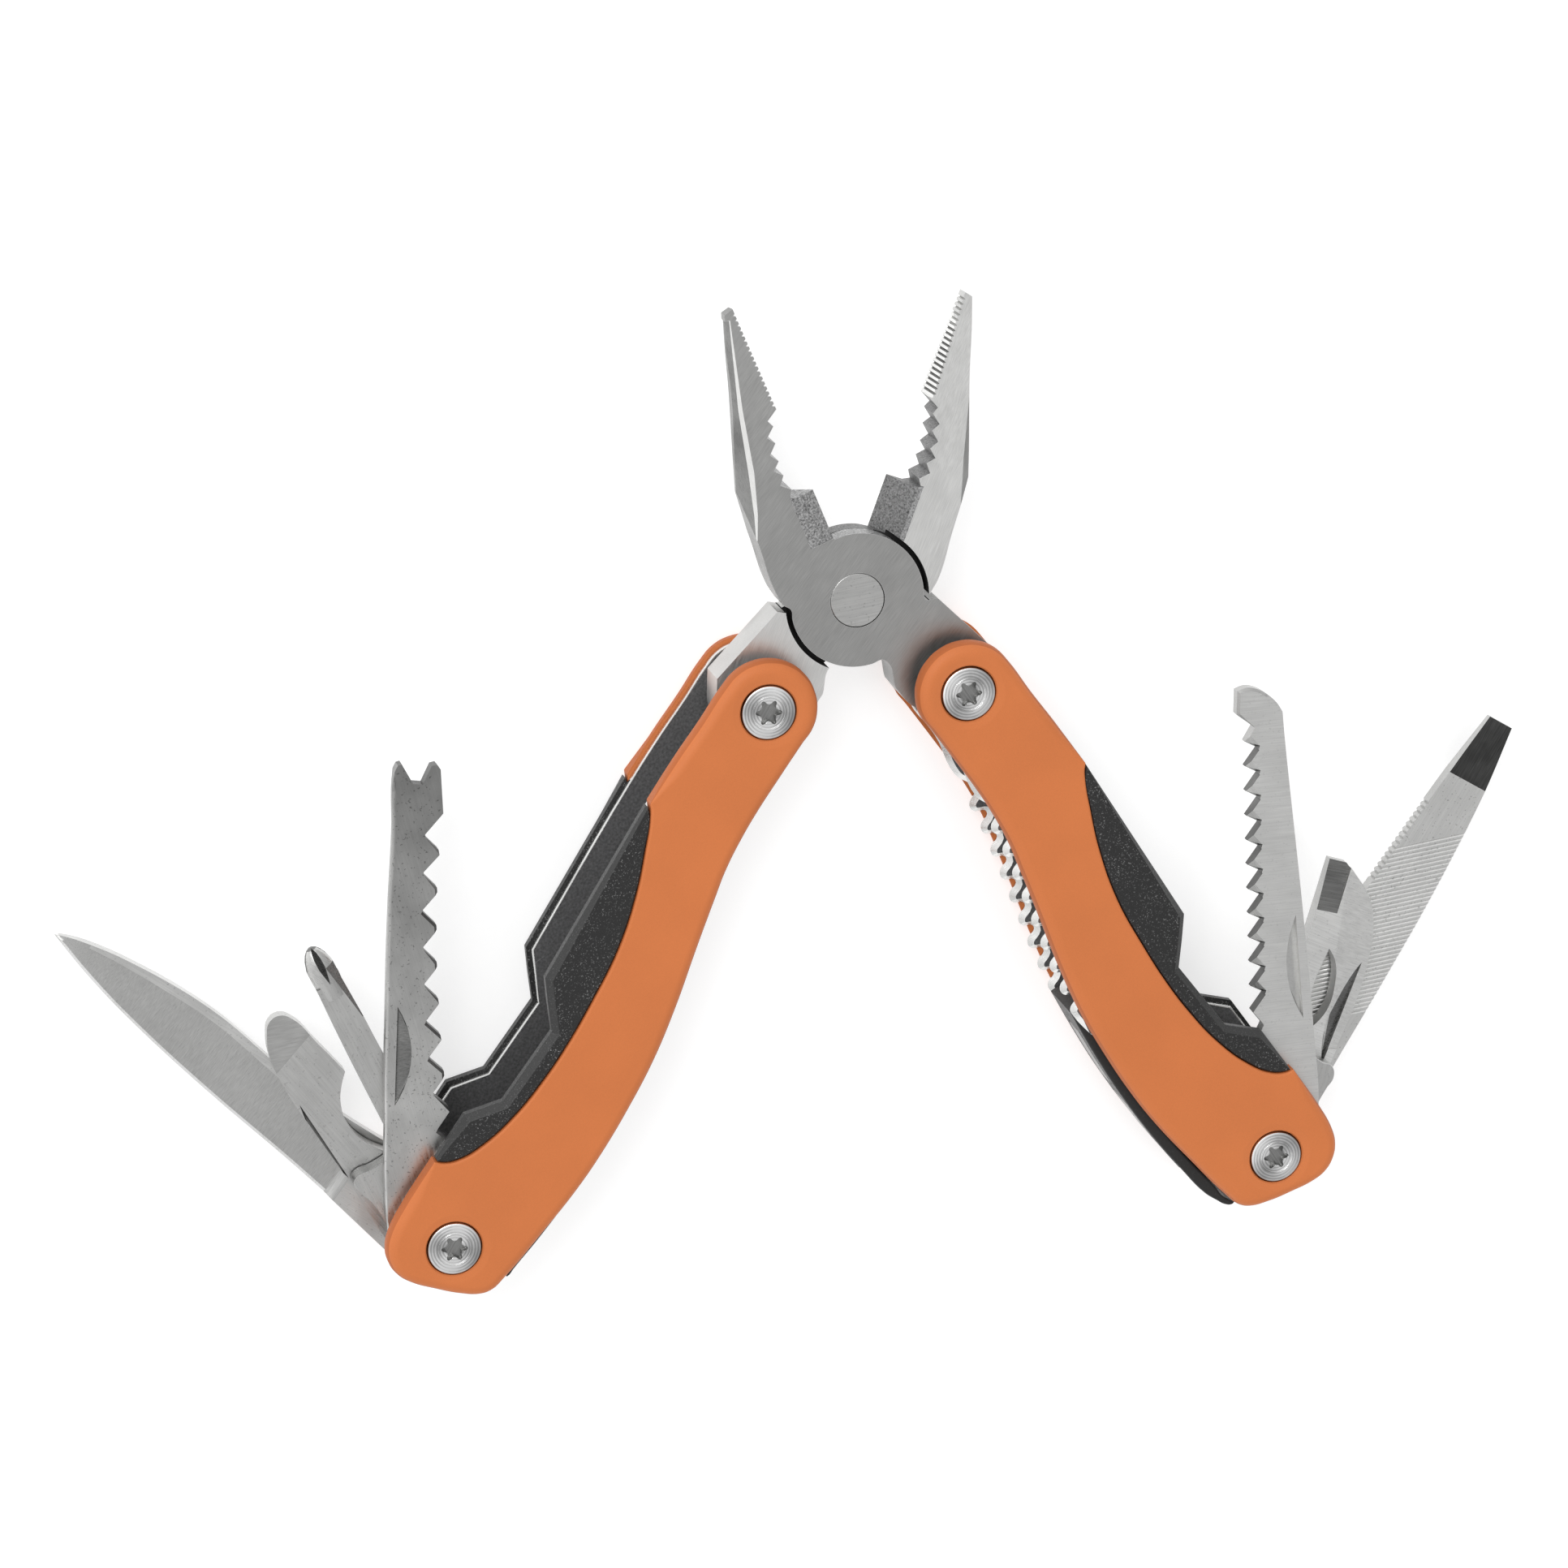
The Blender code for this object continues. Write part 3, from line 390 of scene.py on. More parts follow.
def turned(profile, segments=96):
    """A turned solid from (radius, height) points."""
    work = bmesh.new()
    verts = [work.verts.new((r, 0, z)) for r, z in profile]
    edges = [work.edges.new(pair) for pair in zip(verts, verts[1:])]
    bmesh.ops.spin(work, geom=verts + edges, cent=(0, 0, 0), axis=(0, 0, 1), dvec=(0, 0, 0),
                   angle=2 * math.pi, steps=segments, use_merge=False)
    bmesh.ops.remove_doubles(work, verts=work.verts, dist=WELD)
    bmesh.ops.recalc_face_normals(work, faces=work.faces)
    return work


def turn(work, matrix):
    bmesh.ops.transform(work, matrix=matrix, verts=work.verts)
    return work


def merged(works):
    """Several closed bodies that don't meet, as one cutter."""
    mesh, whole = bpy.data.meshes.new("merged"), bmesh.new()
    for work in works:
        work.to_mesh(mesh)
        whole.from_mesh(mesh)
        work.free()
    bpy.data.meshes.remove(mesh)
    return whole


def solid(name, work):
    mesh = bpy.data.meshes.new(name)
    work.to_mesh(mesh)
    work.free()
    thing = bpy.data.objects.new(name, mesh)
    bpy.context.scene.collection.objects.link(thing)
    return thing


def settle(piece):
    """Applies the piece's modifiers."""
    view = bpy.context.evaluated_depsgraph_get()
    mesh = bpy.data.meshes.new_from_object(piece.evaluated_get(view))
    old = piece.data
    piece.modifiers.clear()
    piece.data = mesh
    bpy.data.meshes.remove(old)


def carve(piece, *cutters, operation="DIFFERENCE"):
    tools = [solid("cutter", work) for work in cutters]
    for tool in tools:
        change = piece.modifiers.new("carve", "BOOLEAN")
        change.operation = operation
        change.solver = "EXACT"
        change.object = tool
    settle(piece)
    for tool in tools:
        mesh = tool.data
        bpy.data.objects.remove(tool)
        bpy.data.meshes.remove(mesh)


def slope(line, out, across, down):
    """A cutter that bevels a face off beside a line of two points: it leaves the face at the line and
    runs down as it goes out."""
    (a, b), out = [Vector(p) for p in line], Vector(out).normalized()
    foot, rise = out * across - Vector((0, 0, down)), Vector((0, 0, math.copysign(1, down)))
    along = (b - a).normalized() * 0.02
    a, b, far = a - along, b + along, foot + rise * CUTTER_CLEAR
    return hull([a, b, a + foot, b + foot, a + far, b + far, a + rise, b + rise])


def nick(key, top, side):
    """A nail nick: a straight deep wall between two points and a floor that rises to a bulging arc."""
    start, stop, bulge, depth = NICKS[key]
    start, stop = Vector(start), Vector(stop)
    across = (stop - start).orthogonal().normalized() * bulge
    corners = [(*end, top + z) for end in (start, stop) for z in (-depth, 1)]
    for t in np.linspace(0, 1, 13):
        arch = start.lerp(stop, t) + across * (1 - (2 * t - 1) ** 2)
        corners += [(*arch, top + 0.002), (*arch, top + 1)]
    return hull([(x, side * y, z) for x, y, z in corners])


def place_piece(piece, matrix, body, edge, angle):
    """Scales a piece modelled in mm, smooths it and puts it in place on its CAD body."""
    mesh = piece.data
    mesh.transform(Matrix.Scale(MM, 4))
    mesh.shade_smooth()
    mesh.set_sharp_from_angle(angle=math.radians(angle))
    if edge:
        bevel = piece.modifiers.new("edges", "BEVEL")
        bevel.width = edge * MM
        bevel.segments = 2
        bevel.limit_method = "ANGLE"
        bevel.angle_limit = math.radians(angle)
        bevel.use_clamp_overlap = True
    normals = piece.modifiers.new("normals", "WEIGHTED_NORMAL")
    normals.keep_sharp = True
    piece.matrix_world = matrix
    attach(piece, body)


def finish(piece, matrix, body, nodes, finishes, edge=0.0, choose=None, angle=35):
    """Gives a piece its finishes and puts it in place of CAD nodes. choose(centre, normal) gives the
    index of a face's finish."""
    for key in finishes:
        piece.data.materials.append(FINISH[key])
    if choose:
        for face in piece.data.polygons:
            face.material_index = choose(face.center, face.normal)
    place_piece(piece, matrix, body, edge, angle)
    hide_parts(*nodes)


# --- finishes
MIDDLE = (0.3, 0.7)     # the stretch that noise values mostly lie in
COOL = 0.985            # how much blue is left of a steel's grey
STEEL_STRETCH = (0.035, 1, 1)
HIGHLIGHT_RADIUS = 0.12


def paint(name, colour, roughness, metallic=0.0, specular=0.5):
    made = bpy.data.materials.new(name)
    made.use_nodes = True
    shader = made.node_tree.nodes["Principled BSDF"]
    shader.inputs["Base Color"].default_value = (*colour, 1)
    shader.inputs["Roughness"].default_value = roughness
    shader.inputs["Metallic"].default_value = metallic
    shader.inputs["Specular IOR Level"].default_value = specular
    return made, made.node_tree, shader


def add(tree, kind, inputs, **settings):
    """Adds a node and gives its first output. An input is set to a value, or linked to a socket."""
    node = tree.nodes.new("ShaderNode" + kind)
    for key, value in settings.items():
        setattr(node, key, value)
    for key, value in inputs.items():
        if isinstance(value, bpy.types.NodeSocket):
            tree.links.new(value, node.inputs[key])
        else:
            node.inputs[key].default_value = value
    return node.outputs[0]


def own_space(tree):
    """Places in the piece's own frame, in metres."""
    return tree.nodes.new("ShaderNodeTexCoord").outputs["Object"]


def noise(tree, scale, stretch=(1, 1, 1), detail=4.0, roughness=0.55, turn_z=0.0):
    """Noise in the piece's own frame; scale is in bumps per metre."""
    spin = add(tree, "Mapping", {"Vector": own_space(tree), "Rotation": (0, 0, math.radians(turn_z))})
    place = add(tree, "Mapping", {"Vector": spin, "Scale": stretch})
    return add(tree, "TexNoise", {"Vector": place, "Scale": scale, "Detail": detail, "Roughness": roughness})


def spread(tree, value, low, high, start=0.0, stop=1.0):
    """Maps a value from start..stop to low..high."""
    return add(tree, "MapRange", {"Value": value, "From Min": start, "From Max": stop, "To Min": low,
                                  "To Max": high})


def times(tree, first, second):
    return add(tree, "Math", {0: first, 1: second}, operation="MULTIPLY")


def shaded(tree, colour, factor):
    """A colour times a factor."""
    return add(tree, "VectorMath", {0: colour, "Scale": factor}, operation="SCALE")


def bump(tree, shader, height, distance, strength):
    """Bumps of a height in mm."""
    normal = add(tree, "Bump", {"Height": height, "Distance": distance * MM, "Strength": strength})
    tree.links.new(normal, shader.inputs["Normal"])


def edge_highlight(tree, colour, highlight_grey):
    """Lightens the colour where the surface turns within a small radius: a painted highlight along the
    edges.
    """
    normal = tree.nodes.new("ShaderNodeNewGeometry").outputs["Normal"]
    rounded = add(tree, "Bevel", {"Radius": HIGHLIGHT_RADIUS * MM})
    dot = tree.nodes.new("ShaderNodeVectorMath")
    dot.operation = "DOT_PRODUCT"
    tree.links.new(normal, dot.inputs[0])
    tree.links.new(rounded, dot.inputs[1])
    mix = tree.nodes.new("ShaderNodeMix")
    mix.data_type = "RGBA"
    tree.links.new(spread(tree, dot.outputs["Value"], 1.0, 0.0, 0.8, 0.985), mix.inputs["Factor"])
    tree.links.new(colour, mix.inputs["A"])
    mix.inputs["B"].default_value = (highlight_grey, highlight_grey, highlight_grey, 1)
    return mix.outputs["Result"]


def steel(name, grey, roughness=0.33, along=0.0, grain=0.16, blotch=0.1, pits=0.0, fineness=5200.0,
          highlight_grey=None, fade=None):
    """Brushed steel. along is the direction of the brushing in degrees from the piece's x axis; fade is a
    stretch of the piece's length (mm) over which the colour darkens by a factor."""
    colour = (grey, grey, grey * COOL)
    made, tree, shader = paint(name, colour, roughness, 1.0)
    lines = noise(tree, fineness, STEEL_STRETCH, detail=3.0, turn_z=-along)
    soft = noise(tree, 150.0, detail=3.0)
    tone = times(tree, spread(tree, lines, 1 - grain, 1 + grain, *MIDDLE),
                 spread(tree, soft, 1 - blotch, 1 + blotch, *MIDDLE))
    if pits:
        specks = noise(tree, 2600.0, detail=1.0)
        tone = times(tree, tone, spread(tree, specks, 1.0, 1 - pits, 0.66, 0.72))
    if fade:
        start, stop, factor = fade
        along_x = add(tree, "SeparateXYZ", {0: own_space(tree)})
        tone = times(tree, tone, spread(tree, along_x, 1.0, factor, start * MM, stop * MM))
    colour = shaded(tree, colour, tone)
    # when an edge grey is given, the edges get a painted highlight
    tree.links.new(edge_highlight(tree, colour, highlight_grey) if highlight_grey else colour, shader.inputs["Base Color"])
    rough = spread(tree, lines, roughness - 0.07, roughness + 0.09, *MIDDLE)
    tree.links.new(rough, shader.inputs["Roughness"])
    bump(tree, shader, lines, 0.012, 0.5)
    return made


def cast_steel(name, grey):
    """The rough as-cast walls of the plier halves; their dark grey is partly painted shade, and the two
    greys they come in are a shaded and a lit copy.
    """
    made, tree, shader = paint(name, (grey, grey, grey), 0.5, 1.0)
    grain = noise(tree, 3200.0, detail=3.0, roughness=0.7)
    colour = shaded(tree, (grey, grey, grey), spread(tree, grain, 0.35, 1.9, *MIDDLE))
    tree.links.new(colour, shader.inputs["Base Color"])
    tree.links.new(spread(tree, grain, 0.35, 0.65, *MIDDLE), shader.inputs["Roughness"])
    bump(tree, shader, grain, 0.12, 0.7)
    return made


def turned_steel(name, grey):
    """Machined rings around the piece's own z axis, with light and dark sectors painted into the colour as
    painted highlight and painted shade.
    """
    made, tree, shader = paint(name, (grey, grey, grey), 0.28, 1.0)
    place = own_space(tree)
    lines = tree.nodes.new("ShaderNodeTexWave")
    lines.wave_type = "RINGS"
    lines.rings_direction = "Z"
    for key, value in (("Scale", 700.0), ("Distortion", 1.5), ("Detail", 2.0), ("Detail Scale", 0.4)):
        lines.inputs[key].default_value = value
    tree.links.new(place, lines.inputs["Vector"])
    rings = lines.outputs["Fac"]
    soft = noise(tree, 600.0, detail=3.0)
    # painted highlight and shade: two light and two dark sectors around the axis
    around = tree.nodes.new("ShaderNodeTexGradient")
    around.gradient_type = "RADIAL"
    tree.links.new(place, around.inputs["Vector"])
    turns = spread(tree, around.outputs["Fac"], 0.9, 0.9 + 4 * math.pi)
    painted_sectors = add(tree, "Math", {0: turns}, operation="SINE")
    tone = times(tree, times(tree, spread(tree, rings, 0.72, 1.25), spread(tree, soft, 0.85, 1.15, *MIDDLE)),
                 spread(tree, painted_sectors, 0.62, 1.38, -1.0, 1.0))
    tree.links.new(shaded(tree, (grey, grey, grey), tone), shader.inputs["Base Color"])
    bump(tree, shader, rings, 0.02, 0.6)
    tangent = add(tree, "Tangent", {}, direction_type="RADIAL", axis="Z")
    tree.links.new(tangent, shader.inputs["Tangent"])
    shader.inputs["Anisotropic"].default_value = 0.75
    return made


def grip_paint(name, colour):
    """Matte orange coating with a fine orange-peel texture."""
    made, tree, shader = paint(name, colour, 0.55, 0.0, 0.25)
    fine, soft = noise(tree, 5200.0, detail=2.0), noise(tree, 90.0, detail=2.0)
    tone = times(tree, spread(tree, fine, 0.97, 1.03, *MIDDLE), spread(tree, soft, 0.97, 1.03, *MIDDLE))
    tree.links.new(shaded(tree, colour, tone), shader.inputs["Base Color"])
    tree.links.new(spread(tree, fine, 0.46, 0.6, *MIDDLE), shader.inputs["Roughness"])
    bump(tree, shader, fine, 0.012, 0.6)
    return made


def speckled_plastic(name, base, glints, grain=4600.0, depth=0.06):
    """Grained black plastic: small bumps, some of which get a painted highlight, a glint, in patches."""
    made, tree, shader = paint(name, (base, base, base), 0.42)
    bumps = noise(tree, grain, detail=2.0, roughness=0.6)
    glint_patches = noise(tree, 140.0, detail=2.0)
    # painted glints: the highest bumps are painted lighter, more in some patches than in others
    bright = times(tree, spread(tree, bumps, 0.0, 1.0, 0.6, 0.72), spread(tree, glint_patches, 0.35, 1.0, *MIDDLE))
    tree.links.new(shaded(tree, (1, 1, 1), spread(tree, bright, base, glints)), shader.inputs["Base Color"])
    tree.links.new(spread(tree, bumps, 0.55, 0.33, *MIDDLE), shader.inputs["Roughness"])
    bump(tree, shader, bumps, depth, 0.6)
    return made


def blackened_steel(name, colour):
    """The black oxide faces of the liners, with a few bright scratches."""
    made, tree, shader = paint(name, colour, 0.4, 0.5)
    fine = noise(tree, 2600.0, detail=4.0)
    scratches = noise(tree, 1500.0, (0.03, 1, 1), detail=2.0, turn_z=25)
    tone = times(tree, spread(tree, fine, 0.7, 1.35, *MIDDLE), spread(tree, scratches, 1.0, 2.4, 0.7, 0.78))
    tree.links.new(shaded(tree, colour, tone), shader.inputs["Base Color"])
    bump(tree, shader, fine, 0.01, 0.5)
    return made


def bronze(name, colour):
    made, tree, shader = paint(name, colour, 0.35, 1.0)
    soft = noise(tree, 700.0, detail=3.0)
    tree.links.new(shaded(tree, colour, spread(tree, soft, 0.8, 1.15, *MIDDLE)), shader.inputs["Base Color"])
    return made


FINISH = {
    "orange": grip_paint("orange_coating", (0.62, 0.185, 0.058)),
    # orange_side is the same coating painted darker: painted shade on the scales' side walls
    "orange_side": grip_paint("orange_wall_painted_shade", (0.47, 0.13, 0.038)),
    "insert": speckled_plastic("speckled_insert", 0.014, 0.3),
    # insert_rim is the insert's plastic painted lighter: a painted highlight on the chamfer
    "insert_rim": speckled_plastic("insert_chamfer_painted_highlight", 0.03, 0.12),
    "spine": speckled_plastic("spine_plastic", 0.016, 0.03, grain=3000.0, depth=0.03),
    "oxide": blackened_steel("black_oxide", (0.16, 0.16, 0.162)),
    "cut": steel("liner_cut_edge", 0.78, 0.22, along=90, grain=0.05),
    # jaw and jaw_light are one steel: a shaded copy for the front half's face and a lit copy for the back
    # half's, each with a painted highlight along its edges
    "jaw": steel("jaw_face", 0.46, 0.36, along=30, grain=0.12, blotch=0.05, fineness=9000.0, highlight_grey=0.9),
    "jaw_light": steel("jaw_face_light", 0.86, 0.38, along=88, grain=0.09, blotch=0.06, fineness=9000.0,
                       highlight_grey=0.95),
    # jaw_side and tang_side are a shaded and a lit copy of the halves' side walls: painted shade on the
    # front half's walls, painted light on the back half's
    "jaw_side": steel("jaw_side", 0.26, 0.3, along=90, grain=0.1, blotch=0.25),
    "jaw_rim": steel("jaw_rim", 0.52, 0.35, along=90, grain=0.08, blotch=0.1),
    "tang_side": steel("tang_side", 0.62, 0.35, along=0, grain=0.08, blotch=0.1),
    # ribs: a painted highlight on the ribs' faces that look to the tip
    "ribs": steel("grip_ribs_painted_highlight", 0.85, 0.3, along=0, grain=0.1, blotch=0.05),
    "gap": paint("gap_shadow", (0.012, 0.012, 0.012), 0.8)[0],
    # facet: a painted highlight on the front half's narrow strip
    "facet": steel("jaw_facet_painted_highlight", 0.92, 0.2, along=90, grain=0.04, blotch=0.03),
    # cast and cast_light are a shaded and a lit copy of the cast walls, for the back half and the front half
    "cast": cast_steel("cast_wall", 0.22),
    "cast_light": cast_steel("cast_wall_light", 0.38),
    "rivet": steel("rivet_face", 0.62, 0.33, along=8, grain=0.07, blotch=0.06, pits=0.25),
    "turned": turned_steel("turned_head", 0.78),
    # star: the recess painted darker than the head, as painted shade
    "star": steel("star_recess_painted_shade", 0.34, 0.3, along=0, grain=0.2, blotch=0.3),
    "spring": steel("spring_steel", 0.5, 0.25, along=0),
    "knife": steel("knife_grind", 0.55, 0.34, along=90, grain=0.13, blotch=0.04, fineness=9000.0),
    "knife_edge": steel("knife_honed_edge", 0.97, 0.2, along=90, grain=0.12),
    "knife_spine": steel("knife_spine", 0.68, 0.35, along=0, grain=0.06, pits=0.2),
    "scaler": steel("scaler_face", 0.58, 0.34, along=10, grain=0.05, blotch=0.14, pits=0.45,
                    fade=(30, 72, 0.5)),
    "opener": steel("opener_face", 0.9, 0.36, along=80, grain=0.09, blotch=0.05, pits=0.15),
    "saw_facet": steel("saw_tooth_facet", 0.66, 0.3, along=30, grain=0.1, blotch=0.2),
    "saw": steel("saw_face", 0.8, 0.36, along=90, grain=0.06, blotch=0.04, pits=0.1),
    "tool": steel("tool_face", 0.62, 0.34, along=0, grain=0.07, blotch=0.06, pits=0.2),
    "tool_dark": steel("tool_tip_dark", 0.47, 0.34, along=60, grain=0.1, blotch=0.08),
    # wall: steel painted near black as painted shade on steep walls: the ribs' faces that look to the pivot,
    # the saw teeth's lower facets and the scaler's tooth walls
    "wall": steel("dark_wall_painted_shade", 0.16, 0.4, along=0, grain=0.15, blotch=0.3),
    # ground: steel painted dark as painted shade in the nail nicks, on the Phillips driver's walls and
    # flutes, on the bottle opener's tip bevel and on the spring tabs in the spine's windows
    "ground": steel("dark_painted_shade", 0.24, 0.3, along=90, grain=0.2, blotch=0.2),
    "patch": steel("file_tip_patch", 0.07, 0.45, along=0, grain=0.25, blotch=0.35),
    "file": steel("file_face", 0.78, 0.38, along=0, grain=0.05, blotch=0.04, pits=0.3),
    "bronze": bronze("washer_bronze", (0.5, 0.34, 0.15)),
}


# --- placing
def placed(origin, angle):
    return Matrix.Translation(origin) @ Matrix.Rotation(angle, 4, "Z")


def heading(a, b):
    return math.atan2(b.y - a.y, b.x - a.x)


HEAD_PINS = {hand: PINS[hand + "_handle_pivot"] for hand in HANDS}
HANDLE_HEADING = {hand: heading(HEAD_PINS[hand], TAIL_PINS[hand]) for hand in HANDS}
HANDLE_PLACE = {hand: placed(HEAD_PINS[hand], HANDLE_HEADING[hand]) for hand in HANDS}
PITCH = (TAIL_PINS["left"] - HEAD_PINS["left"]).length / MM
TANG_HEADING = math.radians(TANG_ANGLE)
HALF_PLACE = {
    "front_jaw": placed(PIVOT, heading(PIVOT, HEAD_PINS["right"]) - TANG_HEADING),
    "back_jaw": placed(PIVOT, heading(PIVOT, HEAD_PINS["left"]) - (math.pi - TANG_HEADING)),
}


# --- pliers
def jaw_height(s):
    """Half thickness of a jaw at a distance from the pivot."""
    return float(np.interp(s, (JAW_TAPER_START, JAW_LENGTH), (HEAD_HALF, JAW_TIP_HALF)))


def grip_at(s, z):
    """How far back the grip face lies at a distance from the pivot and a height; it leans."""
    half = jaw_height(s)
    return float(np.interp(s, *zip(*GRIP_LEAN))) * (z + half) / (2 * half)


def strip(line, out, fall, face):
    """A closed cutter along a line of points on a face: its floor runs out and down from the line."""
    work, rings = bmesh.new(), []
    out, up = Vector(out).normalized(), Vector((0, 0, face))
    for point in line:
        start, foot = Vector(point) - out * SAME, Vector(point) + out * fall[0] - up * fall[1]
        rings.append([work.verts.new(p) for p in (start, foot, foot + up * 6, start + up * 6)])
    skinned(work, rings)
    bmesh.ops.triangulate(work, faces=work.faces)
    return work


def jaw_cutters(side, own):
    """The cutters for one plier half; own is 1 if its disc lies above the other one's, or -1. In them s
    is the distance from the pivot along the jaw, and t the distance outwards from the gripping edge."""
    reach, over = HEAD_HALF + 1, 0.3
    pocket = (-reach, DISC_GAP) if own > 0 else (-DISC_GAP, reach)
    cutters = [turned([(0, pocket[1]), (POCKET_RADIUS, pocket[1]), (POCKET_RADIUS, pocket[0]),
                       (0, pocket[0])])]
    beyond_tip = JAW_LENGTH + 4
    fall = (HEAD_HALF - JAW_TIP_HALF) * (beyond_tip - JAW_TAPER_START) / (JAW_LENGTH - JAW_TAPER_START)
    taper = [(JAW_TAPER_START, HEAD_HALF), (beyond_tip, HEAD_HALF - fall), (beyond_tip, 9),
             (JAW_TAPER_START, 9)]
    for face in (1, -1):
        cutters.append(hull([(x, s, face * z) for x in (-20, 20) for s, z in taper]))
        out = (-side, 0.3, 0)
        if own > 0:     # a narrow bright strip, and a steep wall beyond it
            rim = [(-side * (t - w), s, face * jaw_height(s)) for s, t, w in JAW_FACET]
            wall = [(-side * t, s, face * (jaw_height(s) - w / 2)) for s, t, w in JAW_FACET]
            cutters += [strip(rim, out, FACET_FALL, face), strip(wall, out, WALL_FALL, face)]
        else:
            rim = [(-side * (t + FACET_ROUNDING - w / 3), s, face * jaw_height(s)) for s, t, w in JAW_FACET]
            cutters.append(strip(rim, out, FACET_FALL, face))
    ends = []           # the leaning grip face
    for s, lean in GRIP_LEAN:
        half = jaw_height(s)
        ends += [(-side * t, s, -own * z) for t, z in (
            (lean, half + SAME), (grip_at(s, -half - over), -half - over), (-3, -half - over),
            (-3, half + 1), (lean, half + 1))]
    cutters.append(hull(ends))
    for i in range(RIBS["count"]):
        s = RIBS["first"] + i * RIBS["pitch"]
        groove = [(0.12, -0.27), (0.12, 0.27), (-RIBS["depth"], 0.0)]
        cutters.append(hull([(-side * (grip_at(s, z) - d), s + along, -own * z) for d, along in groove
                             for z in (jaw_height(s) + over, -jaw_height(s) - over)]))
    walls = WIRE_CUTTER_WALLS[own]
    for (t0, z0), (t1, z1) in zip(walls, walls[1:]):
        above = own < 0 or z0 + z1 > 0
        far = 5 if above else -5
        corners = [(t0, z0), (t1, z1), (-2.0, far), (max(t0, t1), far), (-2.0, z1 if above else z0)]
        cutters.append(hull([(-side * t, s, z) for t, z in corners for s in WIRE_CUTTER_SPAN]))
    return cutters


def build_jaw(name, side, own, finishes):
    c, s = math.cos(TANG_HEADING), math.sin(TANG_HEADING)
    loops = [plier_outline(), circle(0, 0, RIVET_RADIUS + RIVET_GAP, 96),
             circle(TANG_REACH * c, TANG_REACH * s, POST_HOLE)]
    mirrored = [[(side * p[0], *p[1:]) for p in loop] for loop in loops]
    half = solid(name + "_forging", plate(mirrored, (-HEAD_HALF, HEAD_HALF)))
    carve(half, *jaw_cutters(side, own))
    face, cast, facet, wall, crest, gap, shade = range(7)

    def choose(centre, normal):
        t, s = -side * centre.x, centre.y
        # the gap faces get the painted shadow, the strip a painted highlight and the walls the shaded or the
        # lit copy
        if abs(normal.z) > 0.985:
            return gap if abs(centre.z) < 0.3 else face         # the pocket's floor shows only in the gap
        if abs(math.hypot(t, s) - POCKET_RADIUS) < 0.1 and abs(normal.z) < 0.1:
            return gap                                          # around the other half's disc
        if s < 5:
            return wall                                         # the disc and the tang
        if t < 3.9 and s < WIRE_CUTTER_SPAN[1]:
            return cast
        if t < 2.3 + (33 - s) * 0.2 and s < JAW_LENGTH - 0.1:
            if s < COARSE_TEETH[0][0] - 0.2:
                return cast                                     # coarse teeth
            return shade if normal.y < -0.3 else crest          # ribs: a painted highlight on faces that look to the tip, painted shade on those that look to the pivot
        return facet if abs(normal.z) > 0.75 or s > JAW_LENGTH - 0.1 else wall
    finish(half, HALF_PLACE[name], name, [name], finishes, edge=0.1, choose=choose, angle=20)


def build_rivet():
    reach = heights("plier_rivet")[1]
    half = [(0, reach), (RIVET_RADIUS - 0.12, reach), (RIVET_RADIUS, reach - 0.1)]
    profile = half + [(r, -z) for r, z in half[::-1]]
    rivet = solid("rivet", turned(profile))
    finish(rivet, placed(PIVOT, 0), "front_jaw", ["plier_rivet"], ["rivet"])


# --- handles
def on_insert(u, v):
    return 20.6 < u < 82.2 and v > -2 and abs(v - edge_at(INSERT_CURVE, u)) < 1.2


def rim_width(u, v):
    """How wide a scale's rim is rounded at a place: narrow along the insert and towards its corners."""
    corners = (HEAD_TO_INSERT[-1], INSERT_END)
    away = min(math.hypot(u - corner[0], v - corner[1]) for corner in corners)
    narrow, wide, rise = SCALE_RIM["narrow"], SCALE_RIM["wide"], SCALE_RIM["rise"]
    if on_insert(u, v):
        return min(narrow, SCALE_RIM["corner"] + 0.35 * away)
    return SCALE_RIM["corner"] + (wide - SCALE_RIM["corner"]) * min(1.0, away / rise)


def build_scale(hand, side, word, face):
    name = f"{hand}_{word}_scale"
    z = heights(name)
    outer, inner = (z[1], z[0]) if face > 0 else z
    work = plate([scale_outline()], z, side, 6)
    level = [f for f in work.faces if abs(f.calc_center_median().z - outer) < SAME]
    edge = [v.co.xy for v in max(level, key=lambda f: f.calc_area()).verts]
    work.free()
    widths = [rim_width(p.x, side * p.y) for p in edge]
    scale = solid(name + "_cover", rounded_plate(edge, widths, outer, inner))
    carve(scale, *(turn(turned([(r, face * h) for r, h in SCREW_SEAT]), Matrix.Translation((u, 0, 0)))
                   for u in (0, PITCH)))
    # the scale's walls get the darker orange as painted shade
    finish(scale, HANDLE_PLACE[hand], hand + "_handle", [name],
           ["orange", "orange_side"], angle=30, choose=lambda c, n: abs(n.z) < 0.5)


def build_insert(hand, side, word, face):
    name = f"{hand}_{word}_insert"
    z = heights(name)
    outer = z[1] if face > 0 else z[0]
    work = plate([insert_outline()], z, side, 6)
    soften(work, outer, 0.95, 1, lambda u, v: not on_insert(u, side * v))
    soften(work, outer, 0.3, 2, lambda u, v: on_insert(u, side * v))
    # the chamfer faces get the lighter plastic as a painted highlight
    finish(solid(name + "_grip", work), HANDLE_PLACE[hand], hand + "_handle", [name],
           ["insert", "insert_rim"], edge=0.14, angle=25, choose=lambda c, n: abs(n.z) < 0.9)


